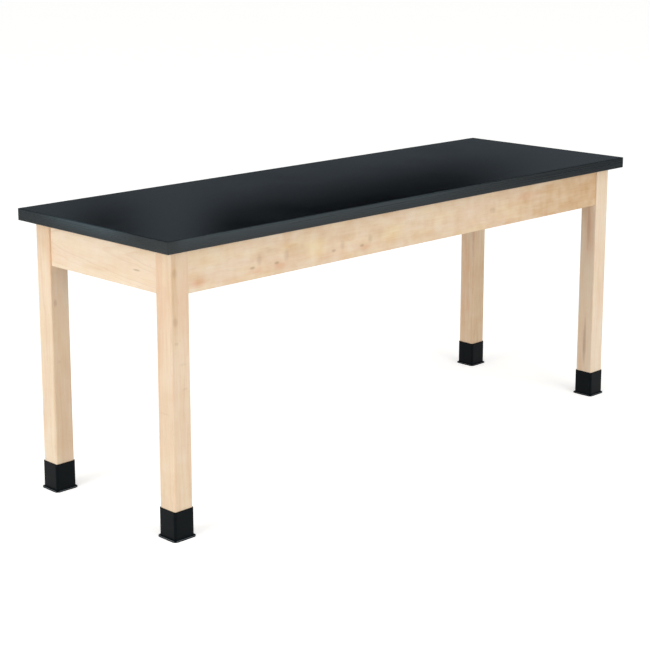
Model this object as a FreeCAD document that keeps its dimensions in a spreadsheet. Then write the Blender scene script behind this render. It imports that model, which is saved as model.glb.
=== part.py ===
import FreeCAD, Part

import os

import Sketcher

# Every size that can be set by itself, in millimetres.
SIZES = {
    # Top: a board core, a black laminate face, a backer sheet and four edge bands
    "top_length": 1828.8,
    "top_width": 609.6,
    "table_height": 762.0,
    "top_thickness": 31.75,
    "laminate_thickness": 1.2,
    "backer_thickness": 0.9,
    "band_thickness": 3.0,
    "band_round": 1.5,
    "top_overhang": 31.75,
    # Legs and aprons: solid maple
    "leg_width": 57.15,
    "leg_round": 4.0,
    "leg_flat": 12.0,
    "apron_height": 114.3,
    "apron_thickness": 19.05,
    "apron_setback": 6.35,
    "apron_round": 1.6,
    # Rail across the middle and the strips that the top is screwed to
    "rail_thickness": 19.05,
    "rail_height": 88.9,
    "rail_housing": 6.35,
    "cleat_width": 19.05,
    "cleat_height": 22.2,
    "cleat_end_gap": 25.4,
    "cleat_rail_gap": 3.2,
    # Pressed steel corner braces
    "brace_thickness": 2.0,
    "brace_height": 88.9,
    "brace_flange": 30.0,
    "brace_lip": 6.35,
    "brace_gap": 6.0,
    "brace_bend": 1.5,
    "kerf_clearance": 0.2,
    # Hanger bolts with their washers and nuts
    "bolt_diameter": 7.94,
    "bolt_length": 63.5,
    "bolt_embedded": 38.1,
    "bolt_tip": 6.0,
    "bolt_chamfer": 1.0,
    "bolt_spacing": 50.8,
    "bolt_hole_clearance": 0.4,
    "washer_diameter": 19.0,
    "washer_thickness": 1.6,
    "nut_width": 12.7,
    "nut_height": 6.75,
    "nut_clearance": 0.05,
    # Wood screws
    "screw_diameter": 4.2,
    "screw_tip": 4.0,
    "screw_head_diameter": 8.4,
    "screw_head_height": 2.6,
    "screw_slot_width": 1.2,
    "screw_slot_length": 4.4,
    "screw_slot_depth": 1.3,
    "screw_hole_clearance": 0.05,
    "screw_end_clearance": 1.0,
    "brace_screw_length": 15.9,
    "brace_screw_spacing": 50.8,
    "cleat_screw_length": 31.75,
    "top_screw_length": 38.1,
    # Leg boots: moulded black rubber
    "boot_height": 76.2,
    "boot_wall": 2.4,
    "boot_base": 4.8,
    "boot_fit": 0.1,
    "boot_flange": 5.0,
    "boot_flange_height": 3.4,
    "boot_cove": 2.4,
    "boot_flange_round": 0.8,
    "boot_rim_round": 0.8,
    "boot_opening": 34.9,
    # Levelling glides: a nylon pad, a screwed steel stem and a flanged insert nut in the leg
    "glide_rest_gap": 0.5,
    "glide_travel": 12.7,
    "pad_diameter": 28.6,
    "pad_thickness": 3.6,
    "pad_round": 1.0,
    "hub_diameter": 15.0,
    "hub_height": 8.3,
    "ball_diameter": 9.0,
    "ball_floor": 1.2,
    "socket_clearance": 0.08,
    "neck_diameter": 5.5,
    "neck_length": 1.6,
    "hex_width": 11.1,
    "hex_height": 5.0,
    "hex_clearance": 0.5,
    "stem_diameter": 7.94,
    "stem_spare": 6.0,
    "stem_chamfer": 1.0,
    "stem_bore_clearance": 1.0,
    "thread_clearance": 0.05,
    "insert_diameter": 11.1,
    "insert_length": 16.0,
    "insert_flange_diameter": 19.0,
    "insert_flange_thickness": 1.6,
    "insert_fit": 0.05,
    # How far a cut runs past the surface that it opens
    "overrun": 1.0,
}

# Places of the screws along a cleat, as shares of its length from its middle.
LONG_TOP_SCREW_SHARES = (-0.4, 0, 0.4)
LONG_CLEAT_SCREW_SHARES = (-0.2, 0.2)
END_TOP_SCREW_SHARE = 0.3
END_CLEAT_SCREW_SHARE = 0.15

# The largest share of a face that a rounded edge may take, alone and with another on the far side.
LONE_ROUND_SHARE = 0.9
ROUND_SHARE = 0.45

# How much of a fastener's radius is left at its tip, and how much of a screw's head is rounded.
BOLT_TIP_SHARE = 0.5
SCREW_TIP_SHARE = 0.25
HEAD_ROUND_SHARE = 0.7

# Two places nearer than this are the same place.
SAME_PLACE = 0.001

# Directions
UP = FreeCAD.Vector(0, 0, 1)
UPRIGHT = FreeCAD.Rotation()
UPSIDE_DOWN = FreeCAD.Rotation(FreeCAD.Vector(1, 0, 0), 180)
ALONG_X = FreeCAD.Rotation(UP, FreeCAD.Vector(1, 0, 0))
ALONG_Y = FreeCAD.Rotation(UP, FreeCAD.Vector(0, 1, 0))
AGAINST_Y = FreeCAD.Rotation(UP, FreeCAD.Vector(0, -1, 0))
DIAGONAL = FreeCAD.Rotation(UP, FreeCAD.Vector(1, 1, 0))
EIGHTH_TURN = FreeCAD.Rotation(UP, 45)

# The four corners and sides: name, turn about the vertical, and side of the middle along X and Y.
CORNERS = (
    ("front_left", 0, -1, -1),
    ("front_right", 90, 1, -1),
    ("back_right", 180, 1, 1),
    ("back_left", 270, -1, 1),
)
SIDES = (
    ("front", 0, 0, -1),
    ("right", 90, 1, 0),
    ("back", 180, 0, 1),
    ("left", 270, -1, 0),
)

# Heights above the floor
TOP_UNDERSIDE = "(Sizes.table_height - Sizes.top_thickness)"
CORE_BOTTOM = f"({TOP_UNDERSIDE} + Sizes.backer_thickness)"
CORE_TOP = "(Sizes.table_height - Sizes.laminate_thickness)"
APRON_BOTTOM = f"({TOP_UNDERSIDE} - Sizes.apron_height)"
APRON_MIDDLE = f"({TOP_UNDERSIDE} - Sizes.apron_height / 2)"
BRACE_BOTTOM = f"({APRON_MIDDLE} - Sizes.brace_height / 2)"
CLEAT_BOTTOM = f"({TOP_UNDERSIDE} - Sizes.cleat_height)"
CLEAT_MIDDLE = f"({TOP_UNDERSIDE} - Sizes.cleat_height / 2)"
PAD_TOP = "(Sizes.glide_rest_gap + Sizes.pad_thickness)"
BALL_CENTRE = "(Sizes.glide_rest_gap + Sizes.ball_floor + Sizes.ball_diameter / 2)"
HEX_BOTTOM = "(Sizes.glide_rest_gap + Sizes.hub_height + Sizes.neck_length)"
HEX_TOP = f"({HEX_BOTTOM} + Sizes.hex_height)"
INSERT_BOTTOM = f"({HEX_TOP} + Sizes.hex_clearance)"
INSERT_SEAT = f"({INSERT_BOTTOM} + Sizes.insert_flange_thickness)"
INSERT_TOP = f"({INSERT_SEAT} + Sizes.insert_length)"
STEM_TOP = f"({INSERT_TOP} + Sizes.glide_travel + Sizes.stem_spare)"

# Distances from the middle of the table, along its length and across it
LEG_AXIS_X = "(Sizes.top_length / 2 - Sizes.top_overhang - Sizes.leg_width / 2)"
LEG_AXIS_Y = "(Sizes.top_width / 2 - Sizes.top_overhang - Sizes.leg_width / 2)"
APRON_INSET = "(Sizes.top_overhang + Sizes.apron_setback + Sizes.apron_thickness)"
INNER_X = f"(Sizes.top_length / 2 - {APRON_INSET})"
INNER_Y = f"(Sizes.top_width / 2 - {APRON_INSET})"
CORE_HALF_LENGTH = "(Sizes.top_length / 2 - Sizes.band_thickness)"
CORE_HALF_WIDTH = "(Sizes.top_width / 2 - Sizes.band_thickness)"

# Distances within a corner, from where the inner faces of its two aprons meet
LEG_STANDS_IN = "(Sizes.leg_width - Sizes.apron_setback - Sizes.apron_thickness)"
BRACE_CORNER = f"(2 * {LEG_STANDS_IN} - Sizes.leg_flat + Sizes.brace_gap * sqrt(2))"
BRACE_SCREW = f"({BRACE_CORNER} + Sizes.brace_flange / 2)"
LIP_START = f"({BRACE_CORNER} + Sizes.brace_flange)"
LIP_END = f"({LIP_START} + Sizes.brace_thickness)"
CLEAT_START = f"({LIP_END} + Sizes.cleat_end_gap)"

# From a leg's axis to the flat on its inner corner, along the diagonal
LEG_FLAT_DISTANCE = "((Sizes.leg_width - Sizes.leg_flat) / sqrt(2))"

# Cleats: the long ones run from a brace to the rail, the end ones from brace to brace
LONG_CLEAT_NEAR = "(Sizes.rail_thickness / 2 + Sizes.cleat_rail_gap)"
LONG_CLEAT_FAR = f"({INNER_X} - {CLEAT_START})"
LONG_CLEAT_HALF = f"(({LONG_CLEAT_FAR} - {LONG_CLEAT_NEAR}) / 2)"
LONG_CLEAT_CENTRE = f"(({LONG_CLEAT_FAR} + {LONG_CLEAT_NEAR}) / 2)"
END_CLEAT_HALF = f"({INNER_Y} - {CLEAT_START})"

# Bores and outer sizes
SCREW_BORE = "(Sizes.screw_diameter / 2 + Sizes.screw_hole_clearance)"
BOLT_BORE = "(Sizes.bolt_diameter / 2 + Sizes.screw_hole_clearance)"
BOOT_INSIDE = "(Sizes.leg_width / 2 + Sizes.boot_fit)"
BOOT_OUTSIDE = f"({BOOT_INSIDE} + Sizes.boot_wall)"
FLANGE_OUTSIDE = f"({BOOT_OUTSIDE} + Sizes.boot_flange)"


def fill_sheet(doc):
    """Writes each size into the sheet as a plain number under its own name."""
    sheet = doc.addObject("Spreadsheet::Sheet", "Sizes")
    for row, (name, number) in enumerate(SIZES.items(), start=1):
        sheet.set(f"A{row}", name)
        sheet.set(f"B{row}", str(number))
        sheet.setAlias(f"B{row}", name)
    doc.recompute()


def value(item, expression):
    """The number that an expression stands for."""
    return float(item.evalExpression(expression))


def new_body(doc, label, x="0", y="0", angle=0):
    """A body whose own origin stands on the floor at x and y, turned about the vertical."""
    body = doc.addObject("PartDesign::Body", label)
    body.Label = label
    body.Placement.Rotation = FreeCAD.Rotation(UP, angle)
    body.setExpression("Placement.Base.x", x)
    body.setExpression("Placement.Base.y", y)
    return body


def place_body(doc, label, base, rotation):
    """A body at a place in the table of three expressions, turned any way."""
    body = doc.addObject("PartDesign::Body", label)
    body.Label = label
    body.Placement.Rotation = rotation
    for axis, expression in zip("xyz", base):
        body.setExpression("Placement.Base." + axis, expression)
    return body


def new_sketch(body, name, height):
    """A level sketch in a body, at a height above the body's origin."""
    plane = next(item for item in body.Origin.OriginFeatures if item.Role == "XY_Plane")
    sketch = body.newObject("Sketcher::SketchObject", name)
    sketch.AttachmentSupport = (plane, [""])
    sketch.MapMode = "FlatFace"
    sketch.setExpression("AttachmentOffset.Base.z", height)
    return sketch


def bind_point(sketch, geometry, point, place):
    """Ties a point of the sketch to its distances from the origin."""
    now = sketch.getPoint(geometry, point)
    for kind, start, expression in zip(("DistanceX", "DistanceY"), (now.x, now.y), place):
        index = sketch.addConstraint(Sketcher.Constraint(kind, -1, 1, geometry, point, start))
        sketch.setExpression(f"Constraints[{index}]", expression)


def draw_outline(sketch, corners):
    """Draws a closed outline of straight lines through corners given as pairs of expressions."""
    points = [FreeCAD.Vector(value(sketch, x), value(sketch, y), 0) for x, y in corners]
    lines = []
    for start, end in zip(points, points[1:] + points[:1]):
        lines.append(sketch.addGeometry(Part.LineSegment(start, end)))
    for line, after in zip(lines, lines[1:] + lines[:1]):
        sketch.addConstraint(Sketcher.Constraint("Coincident", line, 2, after, 1))
    for line, corner in zip(lines, corners):
        bind_point(sketch, line, 1, corner)


def draw_circles(sketch, places, radius):
    """Draws one circle of the same radius at each place."""
    for x, y in places:
        centre = FreeCAD.Vector(value(sketch, x), value(sketch, y), 0)
        circle = sketch.addGeometry(Part.Circle(centre, UP, value(sketch, radius)))
        index = sketch.addConstraint(Sketcher.Constraint("Radius", circle, value(sketch, radius)))
        sketch.setExpression(f"Constraints[{index}]", radius)
        bind_point(sketch, circle, 3, (x, y))


def pad(body, name, sketch, height):
    """Raises a sketch upwards."""
    feature = body.newObject("PartDesign::Pad", name)
    feature.Profile = sketch
    feature.setExpression("Length", height)
    return feature


def board(body, name, x_range, y_range, bottom, height):
    """A board between two places along x and two along y."""
    sketch = new_sketch(body, name + "Outline", bottom)
    (x_low, x_high), (y_low, y_high) = x_range, y_range
    draw_outline(sketch, [(x_low, y_low), (x_high, y_low), (x_high, y_high), (x_low, y_high)])
    return pad(body, name, sketch, height)


def both_ways(distance):
    """From a distance on one side of the middle to the same distance on the other."""
    return (f"-{distance}", distance)


def primitive(body, kind, name, base, turn=UPRIGHT, **sizes):
    """Adds or cuts a plain form at a place of three expressions."""
    feature = body.newObject("PartDesign::" + kind, name)
    feature.Placement = FreeCAD.Placement(FreeCAD.Vector(), turn)
    for axis, expression in zip("xyz", base):
        feature.setExpression("Placement.Base." + axis, expression)
    for size, expression in sizes.items():
        feature.setExpression(size, expression)
    return feature


def dress_edges(body, kind, name, size, wanted):
    """Rounds or bevels the edges of the body's last feature that a test picks out."""
    body.Document.recompute()
    base = body.Tip
    edges = [f"Edge{index}" for index, edge in enumerate(base.Shape.Edges, start=1) if wanted(edge)]
    if not edges:
        raise RuntimeError(f"{body.Label}: no edge for {name}")
    feature = body.newObject("PartDesign::" + kind, name)
    feature.Base = (base, edges)
    feature.setExpression("Radius" if kind == "Fillet" else "Size", size)
    return feature


def is_upright(edge):
    """Whether an edge runs straight up."""
    box = edge.BoundBox
    return box.XLength < SAME_PLACE and box.YLength < SAME_PLACE


def is_level(edge, height):
    """Whether an edge lies level at a height."""
    box = edge.BoundBox
    return box.ZLength < SAME_PLACE and abs(box.ZMin - height) < SAME_PLACE


def stands_at(edge, x, y):
    """Whether an upright edge stands at a place."""
    box = edge.BoundBox
    return is_upright(edge) and abs(box.XMin - x) < SAME_PLACE and abs(box.YMin - y) < SAME_PLACE


def reaches(edge, distance):
    """Whether an edge reaches a distance from the upright axis, along x or y."""
    box = edge.BoundBox
    farthest = max(abs(box.XMin), abs(box.XMax), abs(box.YMin), abs(box.YMax))
    return abs(farthest - distance) < SAME_PLACE


def top_screw_places():
    """Where the screws into the top stand in one quarter, as distances from the middle."""
    places = []
    for share in LONG_TOP_SCREW_SHARES:
        along = f"({LONG_CLEAT_CENTRE} + {share} * 2 * {LONG_CLEAT_HALF})"
        places.append((along, f"({INNER_Y} - Sizes.cleat_width / 2)"))
    across = f"({END_TOP_SCREW_SHARE} * 2 * {END_CLEAT_HALF})"
    places.append((f"({INNER_X} - Sizes.cleat_width / 2)", across))
    return places


def drill_for_top_screws(body, bottom, depth):
    """Drills a sheet of the top from below, in all four quarters."""
    sketch = new_sketch(body, "ScrewPlaces", bottom)
    places = []
    for _, _, side_x, side_y in CORNERS:
        places += [(f"{side_x} * {x}", f"{side_y} * {y}") for x, y in top_screw_places()]
    draw_circles(sketch, places, SCREW_BORE)
    holes = body.newObject("PartDesign::Pocket", "ScrewHoles")
    holes.Profile = sketch
    holes.Reversed = True
    holes.setExpression("Length", depth)


def make_core(doc):
    """Board core of the top, drilled from below for the top screws."""
    body = new_body(doc, "top_core")
    height = f"({CORE_TOP} - {CORE_BOTTOM})"
    board(body, "Board", both_ways(CORE_HALF_LENGTH), both_ways(CORE_HALF_WIDTH), CORE_BOTTOM, height)
    above_backer = "(Sizes.top_screw_length - Sizes.cleat_height - Sizes.backer_thickness)"
    drill_for_top_screws(body, CORE_BOTTOM, f"({above_backer} + Sizes.screw_end_clearance)")
    return body


def make_laminate(doc):
    """Black laminate face of the top."""
    body = new_body(doc, "top_laminate")
    height = "Sizes.laminate_thickness"
    board(body, "Sheet", both_ways(CORE_HALF_LENGTH), both_ways(CORE_HALF_WIDTH), CORE_TOP, height)
    return body


def make_backer(doc):
    """Backer sheet under the core, with a hole for each top screw."""
    body = new_body(doc, "top_backer")
    height = "Sizes.backer_thickness"
    board(body, "Sheet", both_ways(CORE_HALF_LENGTH), both_ways(CORE_HALF_WIDTH), TOP_UNDERSIDE, height)
    drill_for_top_screws(body, TOP_UNDERSIDE, f"({height} + Sizes.overrun)")
    return body


def make_edge_band(doc, side, angle, side_x, side_y):
    """Edge band of one side, as thick as the top; the end bands fit between the long ones."""
    is_long = side_x == 0
    half = "(Sizes.top_length / 2)" if is_long else CORE_HALF_WIDTH
    x = f"{side_x} * {CORE_HALF_LENGTH}"
    y = f"{side_y} * {CORE_HALF_WIDTH}"
    body = new_body(doc, f"edge_band_{side}", x, y, angle)
    board(body, "Band", both_ways(half), ("-Sizes.band_thickness", "0"), TOP_UNDERSIDE, "Sizes.top_thickness")
    half_length = value(body, half)
    outside = -value(body, "Sizes.band_thickness")

    def is_outer(edge):
        box = edge.BoundBox
        if box.YMax < outside + SAME_PLACE:
            return is_long or not is_upright(edge)
        at_end = abs(abs(box.XMin) - half_length) < SAME_PLACE and box.XLength < SAME_PLACE
        return is_long and at_end and not is_upright(edge)

    radius = f"min(Sizes.band_round; {LONE_ROUND_SHARE} * Sizes.band_thickness)"
    dress_edges(body, "Fillet", "EasedEdges", radius, is_outer)
    return body


def make_leg(doc, corner, angle, side_x, side_y):
    """Square leg with rounded long edges, a flat for the hanger bolts and a bored foot."""
    body = new_body(doc, f"leg_{corner}", f"{side_x} * {LEG_AXIS_X}", f"{side_y} * {LEG_AXIS_Y}", angle)
    half = "(Sizes.leg_width / 2)"
    height = f"({TOP_UNDERSIDE} - Sizes.boot_base)"
    board(body, "Post", both_ways(half), both_ways(half), "Sizes.boot_base", height)
    dress_edges(body, "Fillet", "RoundedEdges", "Sizes.leg_round", is_upright)
    cut_bolt_flat(body)
    start = f"(({LEG_FLAT_DISTANCE} - Sizes.bolt_embedded - Sizes.screw_end_clearance) / sqrt(2))"
    length = "(Sizes.bolt_embedded + Sizes.screw_end_clearance + Sizes.overrun)"
    for name, height in bolt_heights():
        primitive(body, "SubtractiveCylinder", f"BoltBore{name}", (start, start, height), DIAGONAL,
                  Radius=BOLT_BORE, Height=length)
    bore_foot(body)
    return body


def bolt_heights():
    """The heights of the two hanger bolts in a corner."""
    return (
        ("Low", f"({APRON_MIDDLE} - Sizes.bolt_spacing / 2)"),
        ("High", f"({APRON_MIDDLE} + Sizes.bolt_spacing / 2)"),
    )


def cut_bolt_flat(body):
    """Cuts the leg's inner corner flat over the height of the aprons."""
    reach = "(Sizes.leg_width / 2)"
    x = f"(({LEG_FLAT_DISTANCE} + {reach}) / sqrt(2))"
    y = f"(({LEG_FLAT_DISTANCE} - {reach}) / sqrt(2))"
    primitive(body, "SubtractiveBox", "BoltFlat", (x, y, APRON_BOTTOM), EIGHTH_TURN,
              Length=reach, Width="Sizes.leg_width", Height="(Sizes.apron_height + Sizes.overrun)")


def bore_foot(body):
    """Bores the leg's foot: a recess for the glide, then the insert nut's hole, then the stem's."""
    steps = (
        ("Recess", "(Sizes.boot_base - Sizes.overrun)", INSERT_SEAT, "(Sizes.boot_opening / 2)"),
        ("InsertBore", INSERT_SEAT, INSERT_TOP, "(Sizes.insert_diameter / 2 + Sizes.insert_fit)"),
        ("StemBore", INSERT_TOP, f"({STEM_TOP} + Sizes.stem_bore_clearance)",
         "(Sizes.stem_diameter / 2 + Sizes.stem_bore_clearance)"),
    )
    for name, bottom, top, radius in steps:
        primitive(body, "SubtractiveCylinder", name, ("0", "0", bottom),
                  Radius=radius, Height=f"({top} - {bottom})")


def make_apron(doc, side, angle, side_x, side_y):
    """Apron between two legs, seen from inside with its inner face on the body's own x axis."""
    is_long = side_x == 0
    x = f"{side_x} * {INNER_X}"
    y = f"{side_y} * {INNER_Y}"
    body = new_body(doc, f"apron_{side}", x, y, angle)
    inner_half = INNER_X if is_long else INNER_Y
    half = f"({inner_half} - {LEG_STANDS_IN})"
    board(body, "Board", both_ways(half), ("-Sizes.apron_thickness", "0"), APRON_BOTTOM, "Sizes.apron_height")
    bottom = value(body, APRON_BOTTOM)
    half_length = value(body, half)

    def is_lower_arris(edge):
        return is_level(edge, bottom) and edge.BoundBox.XLength > half_length

    dress_edges(body, "Fillet", "EasedEdges", "Sizes.apron_round", is_lower_arris)
    for name, way in (("Left", -1), ("Right", 1)):
        cut_kerf(body, name, way, inner_half)
        drill_for_brace_screws(body, name, way, inner_half)
    depth = "(Sizes.cleat_screw_length - Sizes.cleat_width + Sizes.screw_end_clearance)"
    for number, place in enumerate(cleat_screw_places(is_long), start=1):
        drill_inner_face(body, f"CleatScrewHole{number}", place, CLEAT_MIDDLE, depth)
    if is_long:
        house_rail(body)
    return body


def cleat_screw_places(is_long):
    """Where the screws through the cleats meet an apron, along its length from its middle."""
    if not is_long:
        across = f"({END_CLEAT_SCREW_SHARE} * 2 * {END_CLEAT_HALF})"
        return [f"{way} * {across}" for way in (-1, 1)]
    places = []
    for way in (-1, 1):
        for share in LONG_CLEAT_SCREW_SHARES:
            places.append(f"{way} * ({LONG_CLEAT_CENTRE} + {share} * 2 * {LONG_CLEAT_HALF})")
    return places


def drill_inner_face(body, name, x, height, depth):
    """Drills an apron from its inner face."""
    primitive(body, "SubtractiveCylinder", name, (x, "Sizes.overrun", height), AGAINST_Y,
              Radius=SCREW_BORE, Height=f"({depth} + Sizes.overrun)")


def cut_kerf(body, name, way, inner_half):
    """Saws the upright slot that holds a brace's lip."""
    width = "(Sizes.brace_thickness + 2 * Sizes.kerf_clearance)"
    middle = f"({inner_half} - ({LIP_START} + {LIP_END}) / 2)"
    depth = "(Sizes.brace_lip + Sizes.kerf_clearance)"
    base = (f"{way} * {middle} - {width} / 2", f"-{depth}", f"({APRON_BOTTOM} - Sizes.overrun)")
    primitive(body, "SubtractiveBox", f"{name}Kerf", base, Length=width,
              Width=f"({depth} + Sizes.overrun)", Height="(Sizes.apron_height + 2 * Sizes.overrun)")


def brace_screw_heights():
    """The heights of the two screws in a brace's flange."""
    return (
        ("Low", f"({APRON_MIDDLE} - Sizes.brace_screw_spacing / 2)"),
        ("High", f"({APRON_MIDDLE} + Sizes.brace_screw_spacing / 2)"),
    )


def drill_for_brace_screws(body, name, way, inner_half):
    """Drills an apron for the two screws of a brace's flange."""
    depth = "(Sizes.brace_screw_length - Sizes.brace_thickness + Sizes.screw_end_clearance)"
    for level, height in brace_screw_heights():
        place = f"{way} * ({inner_half} - {BRACE_SCREW})"
        drill_inner_face(body, f"{name}BraceScrewHole{level}", place, height, depth)


def house_rail(body):
    """Cuts the housing that holds the middle rail's end."""
    base = ("-Sizes.rail_thickness / 2", "-Sizes.rail_housing", f"({TOP_UNDERSIDE} - Sizes.rail_height)")
    primitive(body, "SubtractiveBox", "RailHousing", base, Length="Sizes.rail_thickness",
              Width="(Sizes.rail_housing + Sizes.overrun)", Height="(Sizes.rail_height + Sizes.overrun)")


def make_rail(doc):
    """Rail across the middle, its ends in the housings of the long aprons."""
    body = new_body(doc, "cross_rail")
    half = f"({INNER_Y} + Sizes.rail_housing)"
    board(body, "Board", both_ways("(Sizes.rail_thickness / 2)"), both_ways(half),
          f"({TOP_UNDERSIDE} - Sizes.rail_height)", "Sizes.rail_height")
    return body


def make_cleat(doc, label, angle, x, y, half, top_shares, side_shares):
    """Wood strip along an apron, with holes up into the top and sideways into the apron."""
    body = new_body(doc, label, x, y, angle)
    board(body, "Strip", both_ways(half), ("0", "Sizes.cleat_width"), CLEAT_BOTTOM, "Sizes.cleat_height")
    middle = "(Sizes.cleat_width / 2)"
    for number, share in enumerate(top_shares, start=1):
        base = (f"({share} * 2 * {half})", middle, f"({CLEAT_BOTTOM} - Sizes.overrun)")
        primitive(body, "SubtractiveCylinder", f"TopScrewHole{number}", base,
                  Radius=SCREW_BORE, Height="(Sizes.cleat_height + 2 * Sizes.overrun)")
    for number, share in enumerate(side_shares, start=1):
        base = (f"({share} * 2 * {half})", "-Sizes.overrun", CLEAT_MIDDLE)
        primitive(body, "SubtractiveCylinder", f"ApronScrewHole{number}", base, ALONG_Y,
                  Radius=SCREW_BORE, Height="(Sizes.cleat_width + 2 * Sizes.overrun)")
    return body


def make_cleats(doc):
    """Four long cleats and two end cleats."""
    cleats = []
    for corner, _, side_x, side_y in CORNERS:
        angle = 0 if side_y < 0 else 180
        x = f"{side_x} * {LONG_CLEAT_CENTRE}"
        y = f"{side_y} * {INNER_Y}"
        cleats.append(make_cleat(doc, f"cleat_{corner}", angle, x, y, LONG_CLEAT_HALF,
                                 LONG_TOP_SCREW_SHARES, LONG_CLEAT_SCREW_SHARES))
    for side, angle, side_x, _ in SIDES:
        if side_x:
            cleats.append(make_cleat(doc, f"cleat_{side}_end", angle, f"{side_x} * {INNER_X}", "0",
                                     END_CLEAT_HALF, (-END_TOP_SCREW_SHARE, END_TOP_SCREW_SHARE),
                                     (-END_CLEAT_SCREW_SHARE, END_CLEAT_SCREW_SHARE)))
    return cleats


def brace_outline():
    """Plan of a brace from one lip to the other, its flanges flat on the two aprons."""
    thickness = "Sizes.brace_thickness"
    inside = f"({BRACE_CORNER} + {thickness} * (sqrt(2) - 1))"
    half = [
        (BRACE_CORNER, "0"),
        (LIP_START, "0"),
        (LIP_START, "-Sizes.brace_lip"),
        (LIP_END, "-Sizes.brace_lip"),
        (LIP_END, thickness),
        (inside, thickness),
    ]
    return half + [(y, x) for x, y in reversed(half)]


def make_brace(doc, corner, angle, side_x, side_y):
    """Pressed steel brace across a corner, with bolt holes in its web and screw holes in its flanges."""
    body = new_body(doc, f"corner_brace_{corner}", f"{side_x} * {INNER_X}", f"{side_y} * {INNER_Y}", angle)
    sketch = new_sketch(body, "Plan", BRACE_BOTTOM)
    outline = brace_outline()
    draw_outline(sketch, outline)
    pad(body, "Plate", sketch, "Sizes.brace_height")
    bend_edges(body, "OuterBends", "(Sizes.brace_bend + Sizes.brace_thickness)", [outline[0], outline[-1]])
    bend_edges(body, "InnerBends", "Sizes.brace_bend", [outline[5], outline[6]])
    bend_edges(body, "LipBends", "Sizes.brace_thickness", [outline[4], outline[7]])
    radius = "(Sizes.bolt_diameter / 2 + Sizes.bolt_hole_clearance)"
    start = f"({BRACE_CORNER} / 2 - Sizes.overrun / sqrt(2))"
    for name, height in bolt_heights():
        primitive(body, "SubtractiveCylinder", f"BoltHole{name}", (start, start, height), DIAGONAL,
                  Radius=radius, Height="(Sizes.brace_thickness + 2 * Sizes.overrun)")
    for name, height in brace_screw_heights():
        for way, turn, base in (("X", ALONG_X, ("-Sizes.overrun", BRACE_SCREW, height)),
                                ("Y", ALONG_Y, (BRACE_SCREW, "-Sizes.overrun", height))):
            primitive(body, "SubtractiveCylinder", f"ScrewHole{way}{name}", base, turn,
                      Radius=SCREW_BORE, Height="(Sizes.brace_thickness + 2 * Sizes.overrun)")
    return body


def bend_edges(body, name, radius, places):
    """Rounds the upright edges at the given places of the plan."""
    points = [(value(body, x), value(body, y)) for x, y in places]

    def is_bend(edge):
        return any(stands_at(edge, x, y) for x, y in points)

    dress_edges(body, "Fillet", name, radius, is_bend)


def make_boot(doc, corner, angle, side_x, side_y):
    """Rubber boot over a leg's foot, with a flange on the floor and an opening for the glide."""
    body = new_body(doc, f"boot_{corner}", f"{side_x} * {LEG_AXIS_X}", f"{side_y} * {LEG_AXIS_Y}", angle)
    wall_corner = "(Sizes.leg_round + Sizes.boot_fit + Sizes.boot_wall)"
    flange = both_ways(FLANGE_OUTSIDE)
    board(body, "Flange", flange, flange, "0", "Sizes.boot_flange_height")
    dress_edges(body, "Fillet", "FlangeCorners", f"({wall_corner} + Sizes.boot_flange)", is_upright)
    board(body, "Wall", both_ways(BOOT_OUTSIDE), both_ways(BOOT_OUTSIDE), "0", "Sizes.boot_height")
    outside = value(body, BOOT_OUTSIDE)

    def is_wall_corner(edge):
        return is_upright(edge) and reaches(edge, outside)

    dress_edges(body, "Fillet", "WallCorners", wall_corner, is_wall_corner)
    flange_top = value(body, "Sizes.boot_flange_height")
    rim = value(body, "Sizes.boot_height")
    flange_outside = value(body, FLANGE_OUTSIDE)

    def is_foot_of_wall(edge):
        return is_level(edge, flange_top) and not is_beyond(edge, outside)

    def is_flange_arris(edge):
        return is_level(edge, flange_top) and reaches(edge, flange_outside)

    cove = f"min(Sizes.boot_cove; {ROUND_SHARE} * Sizes.boot_flange)"
    dress_edges(body, "Fillet", "Cove", cove, is_foot_of_wall)
    arris = f"min(Sizes.boot_flange_round; {ROUND_SHARE} * Sizes.boot_flange_height)"
    dress_edges(body, "Fillet", "FlangeArris", arris, is_flange_arris)
    hollow = (f"-{BOOT_INSIDE}", f"-{BOOT_INSIDE}", "Sizes.boot_base")
    primitive(body, "SubtractiveBox", "Inside", hollow, Length=f"(2 * {BOOT_INSIDE})",
              Width=f"(2 * {BOOT_INSIDE})", Height="(Sizes.boot_height - Sizes.boot_base + Sizes.overrun)")
    inside = value(body, BOOT_INSIDE)

    def is_inner_corner(edge):
        return is_upright(edge) and reaches(edge, inside)

    def is_rim(edge):
        return is_level(edge, rim) and is_beyond(edge, inside)

    dress_edges(body, "Fillet", "InnerCorners", "(Sizes.leg_round + Sizes.boot_fit)", is_inner_corner)
    dress_edges(body, "Fillet", "Rim", f"min(Sizes.boot_rim_round; {ROUND_SHARE} * Sizes.boot_wall)", is_rim)
    primitive(body, "SubtractiveCylinder", "Opening", ("0", "0", "-Sizes.overrun"),
              Radius="(Sizes.boot_opening / 2)", Height="(Sizes.boot_base + 2 * Sizes.overrun)")
    return body


def is_beyond(edge, distance):
    """Whether an edge reaches farther from the upright axis than a distance, along x or y."""
    box = edge.BoundBox
    return max(abs(box.XMin), abs(box.XMax), abs(box.YMin), abs(box.YMax)) > distance + SAME_PLACE


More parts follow.
